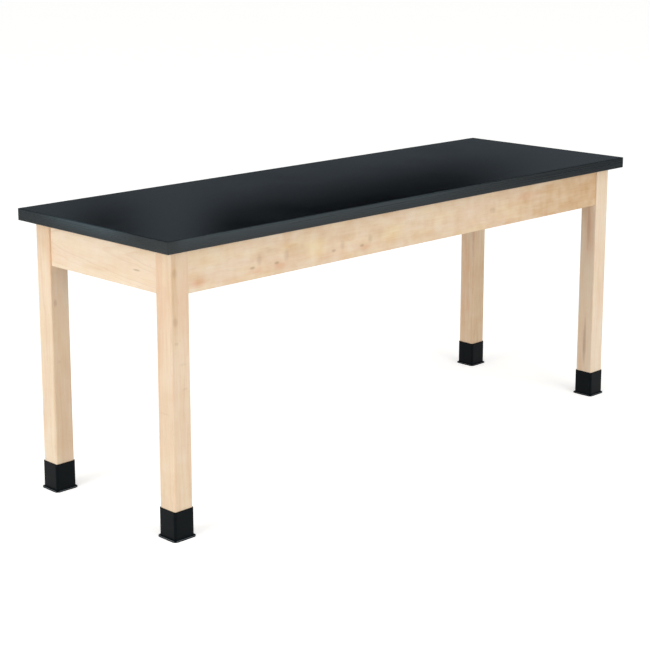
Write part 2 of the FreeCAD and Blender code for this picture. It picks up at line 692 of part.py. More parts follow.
def make_glide_pad(doc, corner, angle, side_x, side_y):
    """Nylon pad of a levelling glide, with a socket that holds the stem's ball."""
    body = new_body(doc, f"glide_pad_{corner}", f"{side_x} * {LEG_AXIS_X}", f"{side_y} * {LEG_AXIS_Y}", angle)
    base = ("0", "0", "Sizes.glide_rest_gap")
    primitive(body, "AdditiveCylinder", "Disc", base,
              Radius="(Sizes.pad_diameter / 2)", Height="Sizes.pad_thickness")
    top = value(body, PAD_TOP)
    radius = f"min(Sizes.pad_round; {ROUND_SHARE} * Sizes.pad_thickness)"
    dress_edges(body, "Fillet", "PadArris", radius, lambda edge: is_level(edge, top))
    primitive(body, "AdditiveCylinder", "Hub", base,
              Radius="(Sizes.hub_diameter / 2)", Height="Sizes.hub_height")
    primitive(body, "SubtractiveSphere", "Socket", ("0", "0", BALL_CENTRE),
              Radius="(Sizes.ball_diameter / 2 + Sizes.socket_clearance)")
    return body


def make_glide_stem(doc, corner, angle, side_x, side_y):
    """Steel stem of a levelling glide: ball, neck, hexagon and screwed shank."""
    x = f"{side_x} * {LEG_AXIS_X}"
    y = f"{side_y} * {LEG_AXIS_Y}"
    body = new_body(doc, f"glide_stem_{corner}", x, y, angle)
    primitive(body, "AdditiveSphere", "Ball", ("0", "0", BALL_CENTRE), Radius="(Sizes.ball_diameter / 2)")
    primitive(body, "AdditiveCylinder", "Neck", ("0", "0", BALL_CENTRE),
              Radius="(Sizes.neck_diameter / 2)", Height=f"({HEX_BOTTOM} - {BALL_CENTRE})")
    primitive(body, "AdditivePrism", "Hexagon", ("0", "0", HEX_BOTTOM),
              Circumradius="(Sizes.hex_width / sqrt(3))", Height="Sizes.hex_height")
    primitive(body, "AdditiveCylinder", "Shank", ("0", "0", HEX_TOP),
              Radius="(Sizes.stem_diameter / 2)", Height=f"({STEM_TOP} - {HEX_TOP})")
    top = value(body, STEM_TOP)
    dress_edges(body, "Chamfer", "EndBevel", "Sizes.stem_chamfer", lambda edge: is_level(edge, top))
    return body


def make_insert(doc):
    """Flanged insert nut in the foot of the front left leg."""
    body = new_body(doc, "insert_nut", f"-{LEG_AXIS_X}", f"-{LEG_AXIS_Y}")
    primitive(body, "AdditiveCylinder", "Flange", ("0", "0", INSERT_BOTTOM),
              Radius="(Sizes.insert_flange_diameter / 2)", Height="Sizes.insert_flange_thickness")
    primitive(body, "AdditiveCylinder", "Barrel", ("0", "0", INSERT_SEAT),
              Radius="(Sizes.insert_diameter / 2)", Height="Sizes.insert_length")
    primitive(body, "SubtractiveCylinder", "Bore", ("0", "0", f"({INSERT_BOTTOM} - Sizes.overrun)"),
              Radius="(Sizes.stem_diameter / 2 + Sizes.thread_clearance)",
              Height=f"({INSERT_TOP} - {INSERT_BOTTOM} + 2 * Sizes.overrun)")
    return body


def on_diagonal(distance):
    """A place in the front left corner, so far from the leg's axis towards the middle."""
    return [f"(-{axis} + ({distance}) / sqrt(2))" for axis in (LEG_AXIS_X, LEG_AXIS_Y)]


def make_hanger_bolt(doc, name, height):
    """Hanger bolt: a tapered end in the leg, a plain shank and a bevelled end for the nut."""
    start = f"({LEG_FLAT_DISTANCE} - Sizes.bolt_embedded)"
    body = place_body(doc, f"hanger_bolt_{name}", on_diagonal(start) + [height], DIAGONAL)
    radius = "(Sizes.bolt_diameter / 2)"
    primitive(body, "AdditiveCylinder", "Shank", ("0", "0", "Sizes.bolt_tip"), Radius=radius,
              Height="(Sizes.bolt_length - Sizes.bolt_tip)")
    primitive(body, "AdditiveCone", "Tip", ("0", "0", "0"), Radius1=f"({BOLT_TIP_SHARE} * {radius})",
              Radius2=radius, Height="Sizes.bolt_tip")
    end = value(body, "Sizes.bolt_length")
    dress_edges(body, "Chamfer", "EndBevel", "Sizes.bolt_chamfer", lambda edge: is_level(edge, end))
    return body


def make_washer(doc, name, height):
    """Washer on the brace's web."""
    start = f"({LEG_FLAT_DISTANCE} + Sizes.brace_gap + Sizes.brace_thickness)"
    body = place_body(doc, f"brace_washer_{name}", on_diagonal(start) + [height], DIAGONAL)
    primitive(body, "AdditiveCylinder", "Disc", ("0", "0", "0"), Radius="(Sizes.washer_diameter / 2)",
              Height="Sizes.washer_thickness")
    primitive(body, "SubtractiveCylinder", "Hole", ("0", "0", "-Sizes.overrun"),
              Radius="(Sizes.bolt_diameter / 2 + Sizes.bolt_hole_clearance)",
              Height="(Sizes.washer_thickness + 2 * Sizes.overrun)")
    return body


def make_nut(doc, name, height):
    """Hexagon nut on the washer."""
    start = f"({LEG_FLAT_DISTANCE} + Sizes.brace_gap + Sizes.brace_thickness + Sizes.washer_thickness)"
    body = place_body(doc, f"brace_nut_{name}", on_diagonal(start) + [height], DIAGONAL)
    primitive(body, "AdditivePrism", "Hexagon", ("0", "0", "0"), Circumradius="(Sizes.nut_width / sqrt(3))",
              Height="Sizes.nut_height")
    primitive(body, "SubtractiveCylinder", "Bore", ("0", "0", "-Sizes.overrun"),
              Radius="(Sizes.bolt_diameter / 2 + Sizes.nut_clearance)",
              Height="(Sizes.nut_height + 2 * Sizes.overrun)")
    return body


def make_screw(doc, label, base, turn, length):
    """Wood screw with a round head and a cross slot; its own z axis runs from the head outwards."""
    body = place_body(doc, label, base, turn)
    radius = "(Sizes.screw_diameter / 2)"
    primitive(body, "AdditiveCylinder", "Head", ("0", "0", "0"), Radius="(Sizes.screw_head_diameter / 2)",
              Height="Sizes.screw_head_height")
    top = value(body, "Sizes.screw_head_height")
    head_round = f"({HEAD_ROUND_SHARE} * Sizes.screw_head_height)"
    dress_edges(body, "Fillet", "HeadRound", head_round, lambda edge: is_level(edge, top))
    primitive(body, "AdditiveCylinder", "Shank", ("0", "0", f"(Sizes.screw_tip - {length})"), Radius=radius,
              Height=f"({length} - Sizes.screw_tip)")
    primitive(body, "AdditiveCone", "Tip", ("0", "0", f"-{length}"),
              Radius1=f"({SCREW_TIP_SHARE} * {radius})", Radius2=radius, Height="Sizes.screw_tip")
    long_side = "Sizes.screw_slot_length"
    short_side = "Sizes.screw_slot_width"
    bottom = "(Sizes.screw_head_height - Sizes.screw_slot_depth)"
    for name, x_size, y_size in (("SlotX", long_side, short_side), ("SlotY", short_side, long_side)):
        primitive(body, "SubtractiveBox", name, (f"-{x_size} / 2", f"-{y_size} / 2", bottom),
                  Length=x_size, Width=y_size, Height="(Sizes.screw_slot_depth + Sizes.overrun)")
    return body


def make_brace_screws(doc):
    """The four screws of the front left brace, two into each apron."""
    screws = []
    length = "Sizes.brace_screw_length"
    for name, height in brace_screw_heights():
        into_front = (f"(-{INNER_X} + {BRACE_SCREW})", f"(-{INNER_Y} + Sizes.brace_thickness)", height)
        into_left = (f"(-{INNER_X} + Sizes.brace_thickness)", f"(-{INNER_Y} + {BRACE_SCREW})", height)
        screws.append(make_screw(doc, f"brace_screw_front_{name}", into_front, ALONG_Y, length))
        screws.append(make_screw(doc, f"brace_screw_left_{name}", into_left, ALONG_X, length))
    return screws


def make_cleat_screws(doc):
    """The screws of the front left quarter that hold the cleats to the aprons."""
    screws = []
    length = "Sizes.cleat_screw_length"
    for number, share in enumerate(LONG_CLEAT_SCREW_SHARES, start=1):
        along = f"-({LONG_CLEAT_CENTRE} + {share} * 2 * {LONG_CLEAT_HALF})"
        base = (along, f"(-{INNER_Y} + Sizes.cleat_width)", CLEAT_MIDDLE)
        screws.append(make_screw(doc, f"cleat_screw_front_{number}", base, ALONG_Y, length))
    across = f"-({END_CLEAT_SCREW_SHARE} * 2 * {END_CLEAT_HALF})"
    base = (f"(-{INNER_X} + Sizes.cleat_width)", across, CLEAT_MIDDLE)
    screws.append(make_screw(doc, "cleat_screw_left", base, ALONG_X, length))
    return screws


def make_top_screws(doc):
    """The screws of the front left quarter that hold the top down on the cleats."""
    screws = []
    for number, (x, y) in enumerate(top_screw_places(), start=1):
        base = (f"-{x}", f"-{y}", CLEAT_BOTTOM)
        screws.append(make_screw(doc, f"top_screw_{number}", base, UPSIDE_DOWN, "Sizes.top_screw_length"))
    return screws


def mirror(doc, name, source, normal):
    """The same thing on the other side of the table's middle."""
    copy = doc.addObject("Part::Mirroring", name)
    copy.Source = source
    copy.Normal = normal
    return copy


def compound(doc, name, items):
    """Several separate solids kept together."""
    group = doc.addObject("Part::Compound", name)
    group.Links = items
    return group


def in_all_quarters(doc, label, items):
    """Repeats the fasteners of the front left quarter in the other three."""
    quarter = compound(doc, f"{label}_quarter", items)
    right = mirror(doc, f"{label}_front_right", quarter, FreeCAD.Vector(1, 0, 0))
    front = compound(doc, f"{label}_front", [quarter, right])
    back = mirror(doc, f"{label}_back", front, FreeCAD.Vector(0, 1, 0))
    whole = compound(doc, f"{label}_all", [front, back])
    whole.Label = label
    return whole


def make_fasteners(doc):
    """Every group of fasteners, each group a sub-part."""
    bolts = [make_hanger_bolt(doc, name, height) for name, height in bolt_heights()]
    washers = [make_washer(doc, name, height) for name, height in bolt_heights()]
    nuts = [make_nut(doc, name, height) for name, height in bolt_heights()]
    return [
        in_all_quarters(doc, "hanger_bolts", bolts),
        in_all_quarters(doc, "brace_washers", washers),
        in_all_quarters(doc, "brace_nuts", nuts),
        in_all_quarters(doc, "brace_screws", make_brace_screws(doc)),
        in_all_quarters(doc, "cleat_screws", make_cleat_screws(doc)),
        in_all_quarters(doc, "top_screws", make_top_screws(doc)),
        in_all_quarters(doc, "insert_nuts", [make_insert(doc)]),
    ]


def make_parts(doc):
    """Every sub-part of the table."""
    parts = [make_core(doc), make_laminate(doc), make_backer(doc), make_rail(doc)]
    for side in SIDES:
        parts.append(make_edge_band(doc, *side))
        parts.append(make_apron(doc, *side))
    for corner in CORNERS:
        parts.append(make_leg(doc, *corner))
        parts.append(make_brace(doc, *corner))
        parts.append(make_boot(doc, *corner))
        parts.append(make_glide_pad(doc, *corner))
        parts.append(make_glide_stem(doc, *corner))
    return parts + make_cleats(doc) + make_fasteners(doc)


def check_features(doc):
    """Stops if anything failed, or if a cut took nothing away."""
    for item in doc.Objects:
        if "Invalid" in item.State or "Error" in item.State:
            raise RuntimeError(f"{item.Label} failed: {item.State}")
        is_cut = item.TypeId.startswith("PartDesign::Subtractive") or item.TypeId == "PartDesign::Pocket"
        if is_cut and not item.Shape.Volume < item.BaseFeature.Shape.Volume:
            raise RuntimeError(f"{item.Label} cuts nothing")


def check_shape(part):
    """Stops if a sub-part has no sound solid."""
    shape = part.Shape
    if shape.isNull() or not shape.isValid() or not shape.Solids:
        raise RuntimeError(f"{part.Label} has no valid solid")


def write_part(part):
    """Writes a sub-part, a group of fasteners as separate solids side by side."""
    solids = part.Shape.Solids
    shape = solids[0] if len(solids) == 1 else Part.makeCompound(solids)
    shape.exportStep(os.path.join("parts", part.Label + ".step"))
    print(f"{part.Label}: {len(solids)} solid(s), {shape.Volume:.0f} mm3")


def main():
    """Builds the table, checks it and writes each sub-part."""
    doc = FreeCAD.newDocument("ScienceLabTable")
    fill_sheet(doc)
    parts = make_parts(doc)
    doc.recompute()
    check_features(doc)
    for part in parts:
        check_shape(part)
    os.makedirs("parts", exist_ok=True)
    for part in parts:
        write_part(part)
    print(f"{len(parts)} sub-parts")


main()
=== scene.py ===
"""Looks, stage and camera of the science lab table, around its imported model."""
import math

import bpy
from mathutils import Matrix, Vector


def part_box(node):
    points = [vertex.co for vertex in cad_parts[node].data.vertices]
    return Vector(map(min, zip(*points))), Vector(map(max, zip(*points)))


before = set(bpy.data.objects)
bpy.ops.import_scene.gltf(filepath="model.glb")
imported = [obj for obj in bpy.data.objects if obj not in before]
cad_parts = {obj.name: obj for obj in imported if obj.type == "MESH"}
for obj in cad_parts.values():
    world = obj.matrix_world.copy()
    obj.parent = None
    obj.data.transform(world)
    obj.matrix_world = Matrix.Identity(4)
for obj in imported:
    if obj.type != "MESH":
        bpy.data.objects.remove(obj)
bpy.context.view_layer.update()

bl_info = {
    "name": "Science lab table",
    "version": (1, 0, 0),
    "blender": (4, 5, 0),
    "location": "View3D > Sidebar > Lab table",
    "description": "Finishes, stage and camera for a maple science table with a black laminate top",
    "category": "Object",
}

CORNERS = ("front_left", "front_right", "back_right", "back_left")
SIDES = ("front", "right", "back", "left")

MM = 0.001

# Where a leg's middle lies, along and across the table, in mm
LEG_MIDDLE = (854.075, 244.475)

# Half the length and half the width of the top, in mm
TOP_HALF = (914.4, 304.8)

# Which way the grain of a board runs, as the turn that brings the pattern's z axis there.
GRAIN_TURNS = {
    "x": (0, math.radians(90), 0),
    "y": (math.radians(-90), 0, 0),
    "z": (0, 0, 0),
}

# Each maple board: its grain, where the tree's heart lies beside the board's middle (mm), how much the rings
# run out along the board, its own number, how tan it is and how much tanner it gets in a metre along the
# grain, and the strength of its clouds and ripple (figure), rosy clouds, growth lines, mineral streaks and
# fibres. Stretch is how many times longer its clouds are than those of a flat-sawn board.
BOARDS = {
    "leg_front_left": dict(grain="z", heart=(46, 62), runout=0.03, number=3, tan=0.37, drift=0.05, figure=0.4,
                           rosy=0.3, lines=0.12, streaks=0.12, stretch=2.5, fibres=0.10),
    "leg_back_left": dict(grain="z", heart=(-70, 38), runout=0.03, number=8, tan=0.12, drift=0.0, figure=0.4,
                          rosy=0.3, lines=0.12, streaks=0.12, stretch=2.5, fibres=0.10),
    "leg_front_right": dict(grain="z", heart=(58, -44), runout=0.03, number=14, tan=0.08, drift=0.0, figure=0.4,
                            rosy=0.3, lines=0.15, streaks=0.12, stretch=2.5, fibres=0.14),
    # The back right leg grows paler towards its top: painted light against the shade that the apron and top cast
    # there
    "leg_back_right": dict(grain="z", heart=(-52, -60), runout=0.03, number=21, tan=0.21, drift=-0.42, figure=0.5,
                           rosy=0.55, lines=0.2, streaks=0.2, stretch=2.0, fibres=0.14),
    "apron_front": dict(grain="x", heart=(12, 66), runout=0.02, number=30, tan=0.44, drift=0.15, figure=0.9,
                        rosy=0.2, lines=0.1, streaks=0.08, stretch=1.0, fibres=0.08),
    "apron_left": dict(grain="y", heart=(-48, -22), runout=0.09, number=37, tan=0.15, drift=0.0, figure=0.45,
                       rosy=0.15, lines=0.2, streaks=0.08, stretch=1.3, fibres=0.07),
    "apron_back": dict(grain="x", heart=(-16, -58), runout=0.02, number=44, tan=0.4, drift=0.1, figure=0.7,
                       rosy=0.35, lines=0.25, streaks=0.2, stretch=1.3, fibres=0.09),
    "apron_right": dict(grain="y", heart=(52, 18), runout=0.05, number=52, tan=0.3, drift=0.0, figure=0.6,
                        rosy=0.35, lines=0.25, streaks=0.2, stretch=1.3, fibres=0.08),
    "cross_rail": dict(grain="y", heart=(30, 60), runout=0.03, number=60, tan=0.5, drift=0.0, figure=0.6,
                       rosy=0.4, lines=0.5, streaks=0.5, stretch=1.5, fibres=0.12),
    "cleat_front_left": dict(grain="x", heart=(30, 40), runout=0.02, number=66, tan=0.45, drift=0.0, figure=0.6,
                             rosy=0.3, lines=0.5, streaks=0.4, stretch=1.5, fibres=0.12),
    "cleat_front_right": dict(grain="x", heart=(-30, 36), runout=0.02, number=71, tan=0.4, drift=0.0, figure=0.6,
                              rosy=0.4, lines=0.5, streaks=0.4, stretch=1.5, fibres=0.12),
    "cleat_back_right": dict(grain="x", heart=(34, -30), runout=0.02, number=77, tan=0.55, drift=0.0, figure=0.6,
                             rosy=0.3, lines=0.5, streaks=0.5, stretch=1.5, fibres=0.12),
    "cleat_back_left": dict(grain="x", heart=(-26, -44), runout=0.02, number=83, tan=0.35, drift=0.0, figure=0.6,
                            rosy=0.4, lines=0.5, streaks=0.4, stretch=1.5, fibres=0.12),
    "cleat_left_end": dict(grain="y", heart=(40, 30), runout=0.02, number=88, tan=0.4, drift=0.0, figure=0.6,
                           rosy=0.3, lines=0.5, streaks=0.4, stretch=1.5, fibres=0.12),
    "cleat_right_end": dict(grain="y", heart=(-36, 28), runout=0.02, number=95, tan=0.5, drift=0.0, figure=0.6,
                            rosy=0.4, lines=0.5, streaks=0.4, stretch=1.5, fibres=0.12),
}

# Marks in the wood: their paint, the middle in the table's own millimetres, the half sizes of the soft
# ellipsoid, and how strong it is. Pin knots have a short crease over them and a rosy halo under them; the wide
# ones are clouds of darker or creamier wood, or painted shade with warm bounce light over the inner faces of the
# legs under the table.
MARKS = {
    "apron_front": (
        ("creamy", (-401, -267, 662), (50, 20, 34), 0.55), ("creamy", (-104, -267, 660), (55, 20, 34), 0.55),
        ("tan", (760, -267, 673), (300, 20, 120), 0.95), ("tan", (-472, -267, 668), (50, 20, 20), 0.5),
        ("tan", (-575, -267, 676), (44, 20, 15), 0.35), ("tan", (-168, -267, 668), (50, 20, 20), 0.45),
        ("tan", (-276, -267, 676), (44, 20, 15), 0.35), ("rosy", (-604, -267, 637), (26, 20, 9), 0.45),
        ("rosy", (-520, -267, 637), (26, 20, 9), 0.45), ("rosy", (-318, -267, 638), (26, 20, 9), 0.4),
        ("rosy", (-210, -267, 637), (26, 20, 9), 0.4), ("rosy", (-790, -267, 634), (30, 20, 12), 0.6),
        ("rosy", (500, -267, 690), (60, 20, 16), 0.4), ("knot", (-614, -267, 646), (10, 20, 4.5), 0.36),
        ("knot", (-532, -267, 646), (10, 20, 4.5), 0.36), ("knot", (-327, -267, 647), (10, 20, 4.5), 0.36),
        ("knot", (-221, -267, 645), (10, 20, 4.5), 0.36), ("knot", (-591, -267, 661), (10, 20, 15), 0.17),
        ("knot", (-500, -267, 660), (11, 20, 17), 0.18), ("knot", (-295, -267, 659), (10, 20, 15), 0.17),
        ("knot", (-188, -267, 660), (10, 20, 15), 0.17), ("knot", (325, -267, 668), (16, 20, 10), 0.14),
    ),
    "apron_left": (
        ("knot", (-876, -136, 662), (20, 16, 3.0), 0.4), ("tan", (-876, 30, 640), (20, 60, 7), 0.25),
    ),
    "leg_front_left": (
        ("tan", (-871, -273, 610), (11, 9, 170), 0.6), ("knot", (-870, -273, 552), (9, 9, 14), 0.22),
        ("knot", (-870, -273, 672), (8, 9, 14), 0.18), ("knot", (-868, -273, 500), (8, 9, 5), 0.14),
        ("knot", (-852, -273, 445), (12, 9, 5), 0.1), ("knot", (-846, -273, 383), (10, 9, 4), 0.1),
        ("knot", (-883, -245, 322), (8, 24, 3), 0.08), ("rosy", (-883, -244, 560), (8, 40, 110), 0.15),
    ),
    "leg_front_right": (
        # The first mark on this line lies over the leg's inner face: painted shade with warm bounce light under the
        # table
        ("warm_shade", (825, -245, 380), (9, 60, 480), 0.1), ("knot", (825, -246, 545), (9, 6, 80), 0.3),
        ("rosy", (825, -246, 540), (9, 16, 110), 0.35), ("knot", (825, -246, 165), (9, 7, 80), 0.36),
    ),
    "leg_back_right": (
        # The two marks on this line lie over the leg's two inner faces: painted shade with warm bounce light under
        # the table
        ("warm_shade", (825, 245, 260), (9, 60, 260), 0.25), ("tan", (854, 216, 120), (60, 9, 400), 0.6),
        ("knot", (826, 217, 420), (5, 5, 240), 0.12),
    ),
    "leg_back_left": (
        # The two marks on this line lie over the leg's inner front face: painted shade with warm bounce light under
        # the table
        ("warm_shade", (-854, 216, 640), (60, 9, 300), 0.22), ("tan", (-854, 216, 260), (60, 9, 260), 0.4),
        ("tan", (-883, 244, 700), (8, 40, 90), 0.5), ("knot", (-868, 216, 517), (7, 9, 12), 0.22),
        ("knot", (-862, 216, 356), (7, 9, 6), 0.1),
    ),
}

# How strong the clouds, flecks and waves are that every board has, and how far its tan varies either way
CREAMY_STRENGTH, FLECK_STRENGTH = 0.4, 0.2
MOTTLE_REACH, RIPPLE_REACH = 0.22, 0.12
TAN_SPREAD = 0.15

# How far noise shifts a mark, in its half sizes, and between which distances the mark fades out
MARK_WANDER = 1.6
MARK_FADE = {1: 0.2, 2: 1.3, 3: 1.0, 4: 0.0}

# The levels between which nearly all of a noise lies, as the inputs of a map range
NOISE_SPAN = {1: 0.3, 2: 0.7}

# How much painted sheen the edge bands carry, a paler colour that stands in for their highlight and reflections:
# from what height to what height (m) it grows from which share to which, and how it goes along the front band from
# left to right and along the left band from front to back
BAND_SHEEN_RISE = {1: 0.735, 2: 0.760, 3: 0.1, 4: 0.7}
FRONT_BAND_SHEEN = ((0.0, 0.0), (0.008, 0.0), (0.03, 0.46), (0.45, 0.42), (0.75, 0.0))
LEFT_BAND_SHEEN = ((0.0, 0.0), (0.16, 0.0), (0.44, 1.0), (0.6, 0.9), (0.9, 0.1))

# Where the boots' flanges carry a painted highlight: how far beside the leg's middle and how high, each from none
# to full, in m
FLANGE_HIGHLIGHT_OUT = {1: 33.8 * MM, 2: 34.8 * MM}
FLANGE_HIGHLIGHT_UP = {1: 2.8 * MM, 2: 3.3 * MM}

# How much the floor glows for rays that see it directly, which brings it to white there
FLOOR_GLOW = 0.48


def linear(code):
    """The linear colour with alpha that an sRGB hex value stands for."""
    parts = [int(code[start:start + 2], 16) / 255 for start in (1, 3, 5)]
    return [p / 12.92 if p <= 0.04045 else ((p + 0.055) / 1.055) ** 2.4 for p in parts] + [1.0]


def add(tree, kind, settings=(), links=()):
    """Adds a node, sets its properties or inputs, and joins its inputs to outputs of other nodes.

    An input goes by its name or its number. A map range takes levels between inputs 1 and 2 and gives those between
    3 and 4, a colour mix has its two colours at 6 and 7, and a mapping its place, turn and size at 1 to 3."""
    item = tree.nodes.new("ShaderNode" + kind)
    for key, setting in dict(settings).items():
        if key == "stops":
            # Grey (place, value) pairs of a colour ramp, joined by soft curves
            item.color_ramp.interpolation = "EASE"
            while len(item.color_ramp.elements) < len(setting):
                item.color_ramp.elements.new(0.5)
            for element, (place, level) in zip(item.color_ramp.elements, setting):
                element.position = place
                element.color = (level, level, level, 1)
        elif isinstance(key, int) or (key in item.inputs and not hasattr(item, key)):
            item.inputs[key].default_value = setting
        else:
            setattr(item, key, setting)
    for key, output in dict(links).items():
        tree.links.new(output, item.inputs[key])
    return item


def new_tree(name):
    """An empty material and its node tree."""
    material = bpy.data.materials.new(name)
    material.use_nodes = True
    material.node_tree.nodes.clear()
    return material, material.node_tree


def finish_material(tree, shader):
    """Joins a shader to the material's surface."""
    add(tree, "OutputMaterial", links={"Surface": shader.outputs[0]})


def dress(node, material):
    """Gives a node of the model its finish."""
    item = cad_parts[node]
    item.data.materials.clear()
    item.data.materials.append(material)
    for polygon in item.data.polygons:
        polygon.material_index = 0


def lacquered_maple(name, wood):
    """Hard maple, planed, sanded and sprayed with clear satin lacquer.

    It is pale and even: soft cream and rosy clouds, a few faint tan growth lines that draw arches on flat-sawn
    faces, short fibres, a cross-grain ripple that shifts in the light, and here and there a pin knot or streak."""
    board = BOARDS[name]
    number = board["number"]
    low, high = (Vector(corner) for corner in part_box(name))
    material, tree = new_tree(f"lacquered_maple_{name}")
    place = add(tree, "TexCoord").outputs["Object"]
    # Millimetres from the board's middle, with z along the grain
    local = add(tree, "Mapping", {"vector_type": "TEXTURE", 1: (low + high) / 2, 2: GRAIN_TURNS[board["grain"]],
                                  3: (MM, MM, MM)}, {0: place}).outputs[0]

    def cloud(across, along, place=local, detail=2.0, offset=0.0):
        """Noise whose patches are this many millimetres across and along the grain."""
        spread = add(tree, "Mapping", {3: (1 / across, 1 / across, 1 / along)}, {0: place}).outputs[0]
        return add(tree, "TexNoise", {"noise_dimensions": "4D", "W": number + offset, "Scale": 1.0, "Detail": detail},
                   {"Vector": spread})

    def patches(empty, full, *shape, **more):
        """Patches of that noise: none under the first level, full over the second."""
        return add(tree, "ValToRGB", {"stops": ((0.0, 0.0), (empty, 0.0), (full, 1.0))},
                   {0: cloud(*shape, **more).outputs["Fac"]}).outputs[0]

    def layer(colour, mask, strength, paint):
        """The colour with paint over it where the mask is."""
        amount = add(tree, "Math", {"operation": "MULTIPLY", 1: strength}, {0: mask}).outputs[0]
        return add(tree, "Mix", {"data_type": "RGBA", 7: paint}, {0: amount, 6: colour}).outputs[2]

    # Slow wander of the rings, mostly up to 12 mm either way, over 90 mm across and 300 mm along
    wander = cloud(90, 300, detail=3.0).outputs["Color"]
    centred = add(tree, "VectorMath", {"operation": "SUBTRACT", 1: (0.5, 0.5, 0.5)}, {0: wander}).outputs[0]
    shift = add(tree, "VectorMath", {"operation": "MULTIPLY", 1: (48, 48, 0)}, {0: centred}).outputs[0]
    warped = add(tree, "VectorMath", {"operation": "ADD"}, {0: local, 1: shift}).outputs[0]
    # Distance from the heart of the tree, which grows along the board
    from_heart = add(tree, "VectorMath", {"operation": "SUBTRACT", 1: (*board["heart"], 0)}, {0: warped}).outputs[0]
    flat = add(tree, "VectorMath", {"operation": "MULTIPLY", 1: (1, 1, 0)}, {0: from_heart}).outputs[0]
    radius = add(tree, "VectorMath", {"operation": "LENGTH"}, {0: flat}).outputs["Value"]
    along = add(tree, "SeparateXYZ", links={0: local}).outputs["Z"]
    radius = add(tree, "Math", {"operation": "MULTIPLY_ADD", 1: board["runout"]}, {0: along, 2: radius}).outputs[0]
    # Growth lines: dark at the outer side of a ring, and only some rings show
    rings = add(tree, "Math", {"operation": "DIVIDE", 1: wood.ring_width / MM}, {0: radius}).outputs[0]
    share = add(tree, "Math", {"operation": "FRACT"}, {0: rings}).outputs[0]
    line = add(tree, "ValToRGB", {"stops": ((0.0, 0.0), (0.5, 0.15), (0.86, 1.0), (1.0, 0.0))},
               {0: share}).outputs[0]
    ring_number = add(tree, "Math", {"operation": "FLOOR"}, {0: rings}).outputs[0]
    shown = add(tree, "TexWhiteNoise", {"noise_dimensions": "1D"}, {"W": ring_number}).outputs["Value"]
    shown = add(tree, "Math", {"operation": "POWER", 1: 2.0}, {0: shown}).outputs[0]
    line = add(tree, "Math", {"operation": "MULTIPLY"}, {0: line, 1: shown}).outputs[0]
    # Fibres 4 mm wide and 90 mm long; the real ones are a twentieth of that and would not show
    fibres = cloud(4, 90, detail=3.0, offset=0.3).outputs["Fac"]
    # Ray flecks 1.5 mm wide and 8 mm long; the real ones are mostly a third of that
    flecks = patches(0.68, 0.84, 1.5, 8, detail=0.0, offset=0.6)
    # Denser and paler wood in clouds 26 mm wide and 60 mm long on a flat-sawn board, and tan ones, 60 by 400 mm
    stretch = board["stretch"]
    mottle = cloud(26, 60 * stretch, warped, 3.0, 0.7).outputs["Fac"]
    broad = cloud(60, 400, warped, 2.0, 0.8).outputs["Fac"]
    # Rosy clouds 36 mm wide and 130 mm long on such a board, and creamy ones 40 by 120 mm
    rosy = patches(0.42, 0.66, 36, 130 * stretch, warped, 3.0, 1.3)
    creamy = patches(0.42, 0.66, 40, 120 * stretch, warped, 3.0, 2.1)
    # Mineral streaks 11 mm wide and 260 mm long
    streaks = patches(0.55, 0.74, 11, 260, warped, 3.0, 0.9)
    # Cross-grain ripple, some 26 mm from crest to crest along the grain and 50 mm wide
    ripple = cloud(50, 26, warped, 1.0, 1.7).outputs["Fac"]

    tan = add(tree, "MapRange", {**NOISE_SPAN, 3: board["tan"] - TAN_SPREAD, 4: board["tan"] + TAN_SPREAD},
              {0: broad}).outputs[0]
    tan = add(tree, "Math", {"operation": "MULTIPLY_ADD", "use_clamp": True, 1: board["drift"] * MM},
              {0: along, 2: tan}).outputs[0]
    colour = add(tree, "Mix", {"data_type": "RGBA", 6: wood.sapwood, 7: wood.tan}, {0: tan}).outputs[2]
    colour = layer(colour, creamy, CREAMY_STRENGTH * board["figure"], wood.creamy)
    colour = layer(colour, rosy, board["rosy"], wood.rosy)
    colour = layer(colour, line, board["lines"], wood.growth_line)
    colour = layer(colour, streaks, board["streaks"], wood.streak)
    colour = layer(colour, flecks, FLECK_STRENGTH, wood.fleck)
    for paint, middle, size, strength in MARKS.get(name, ()):
        # The wander keeps a mark from being a plain ellipse
        spot = add(tree, "Mapping", {"vector_type": "TEXTURE", 1: Vector(middle) * MM, 3: Vector(size) * MM},
                   {0: place}).outputs[0]
        spot = add(tree, "VectorMath", {"operation": "MULTIPLY_ADD", 1: (MARK_WANDER, MARK_WANDER, MARK_WANDER)},
                   {0: centred, 2: spot}).outputs[0]
        distance = add(tree, "VectorMath", {"operation": "LENGTH"}, {0: spot}).outputs["Value"]
        mark = add(tree, "MapRange", {"interpolation_type": "SMOOTHERSTEP", **MARK_FADE}, {0: distance}).outputs[0]
        colour = layer(colour, mark, strength, getattr(wood, paint))
    # Denser wood is browner rather than greyer, so these waves deepen the colour in place of shading it
    for waves, reach in ((fibres, board["fibres"]), (mottle, MOTTLE_REACH * board["figure"]),
                         (ripple, RIPPLE_REACH * board["figure"])):
        depth = add(tree, "MapRange", {**NOISE_SPAN, 3: 1 + reach, 4: 1 - reach}, {0: waves}).outputs[0]
        colour = add(tree, "Gamma", links={0: colour, 1: depth}).outputs[0]
    roughness = add(tree, "MapRange", {**NOISE_SPAN, 3: 0.5, 4: 0.4}, {0: fibres}).outputs[0]
    bump = add(tree, "Bump", {"Strength": 0.2, "Distance": 0.1 * MM}, {"Height": fibres}).outputs[0]
    shader = add(tree, "BsdfPrincipled", {"IOR": 1.5, "Specular IOR Level": 0.4},
                 {"Base Color": colour, "Roughness": roughness, "Normal": bump})
    finish_material(tree, shader)
    return material


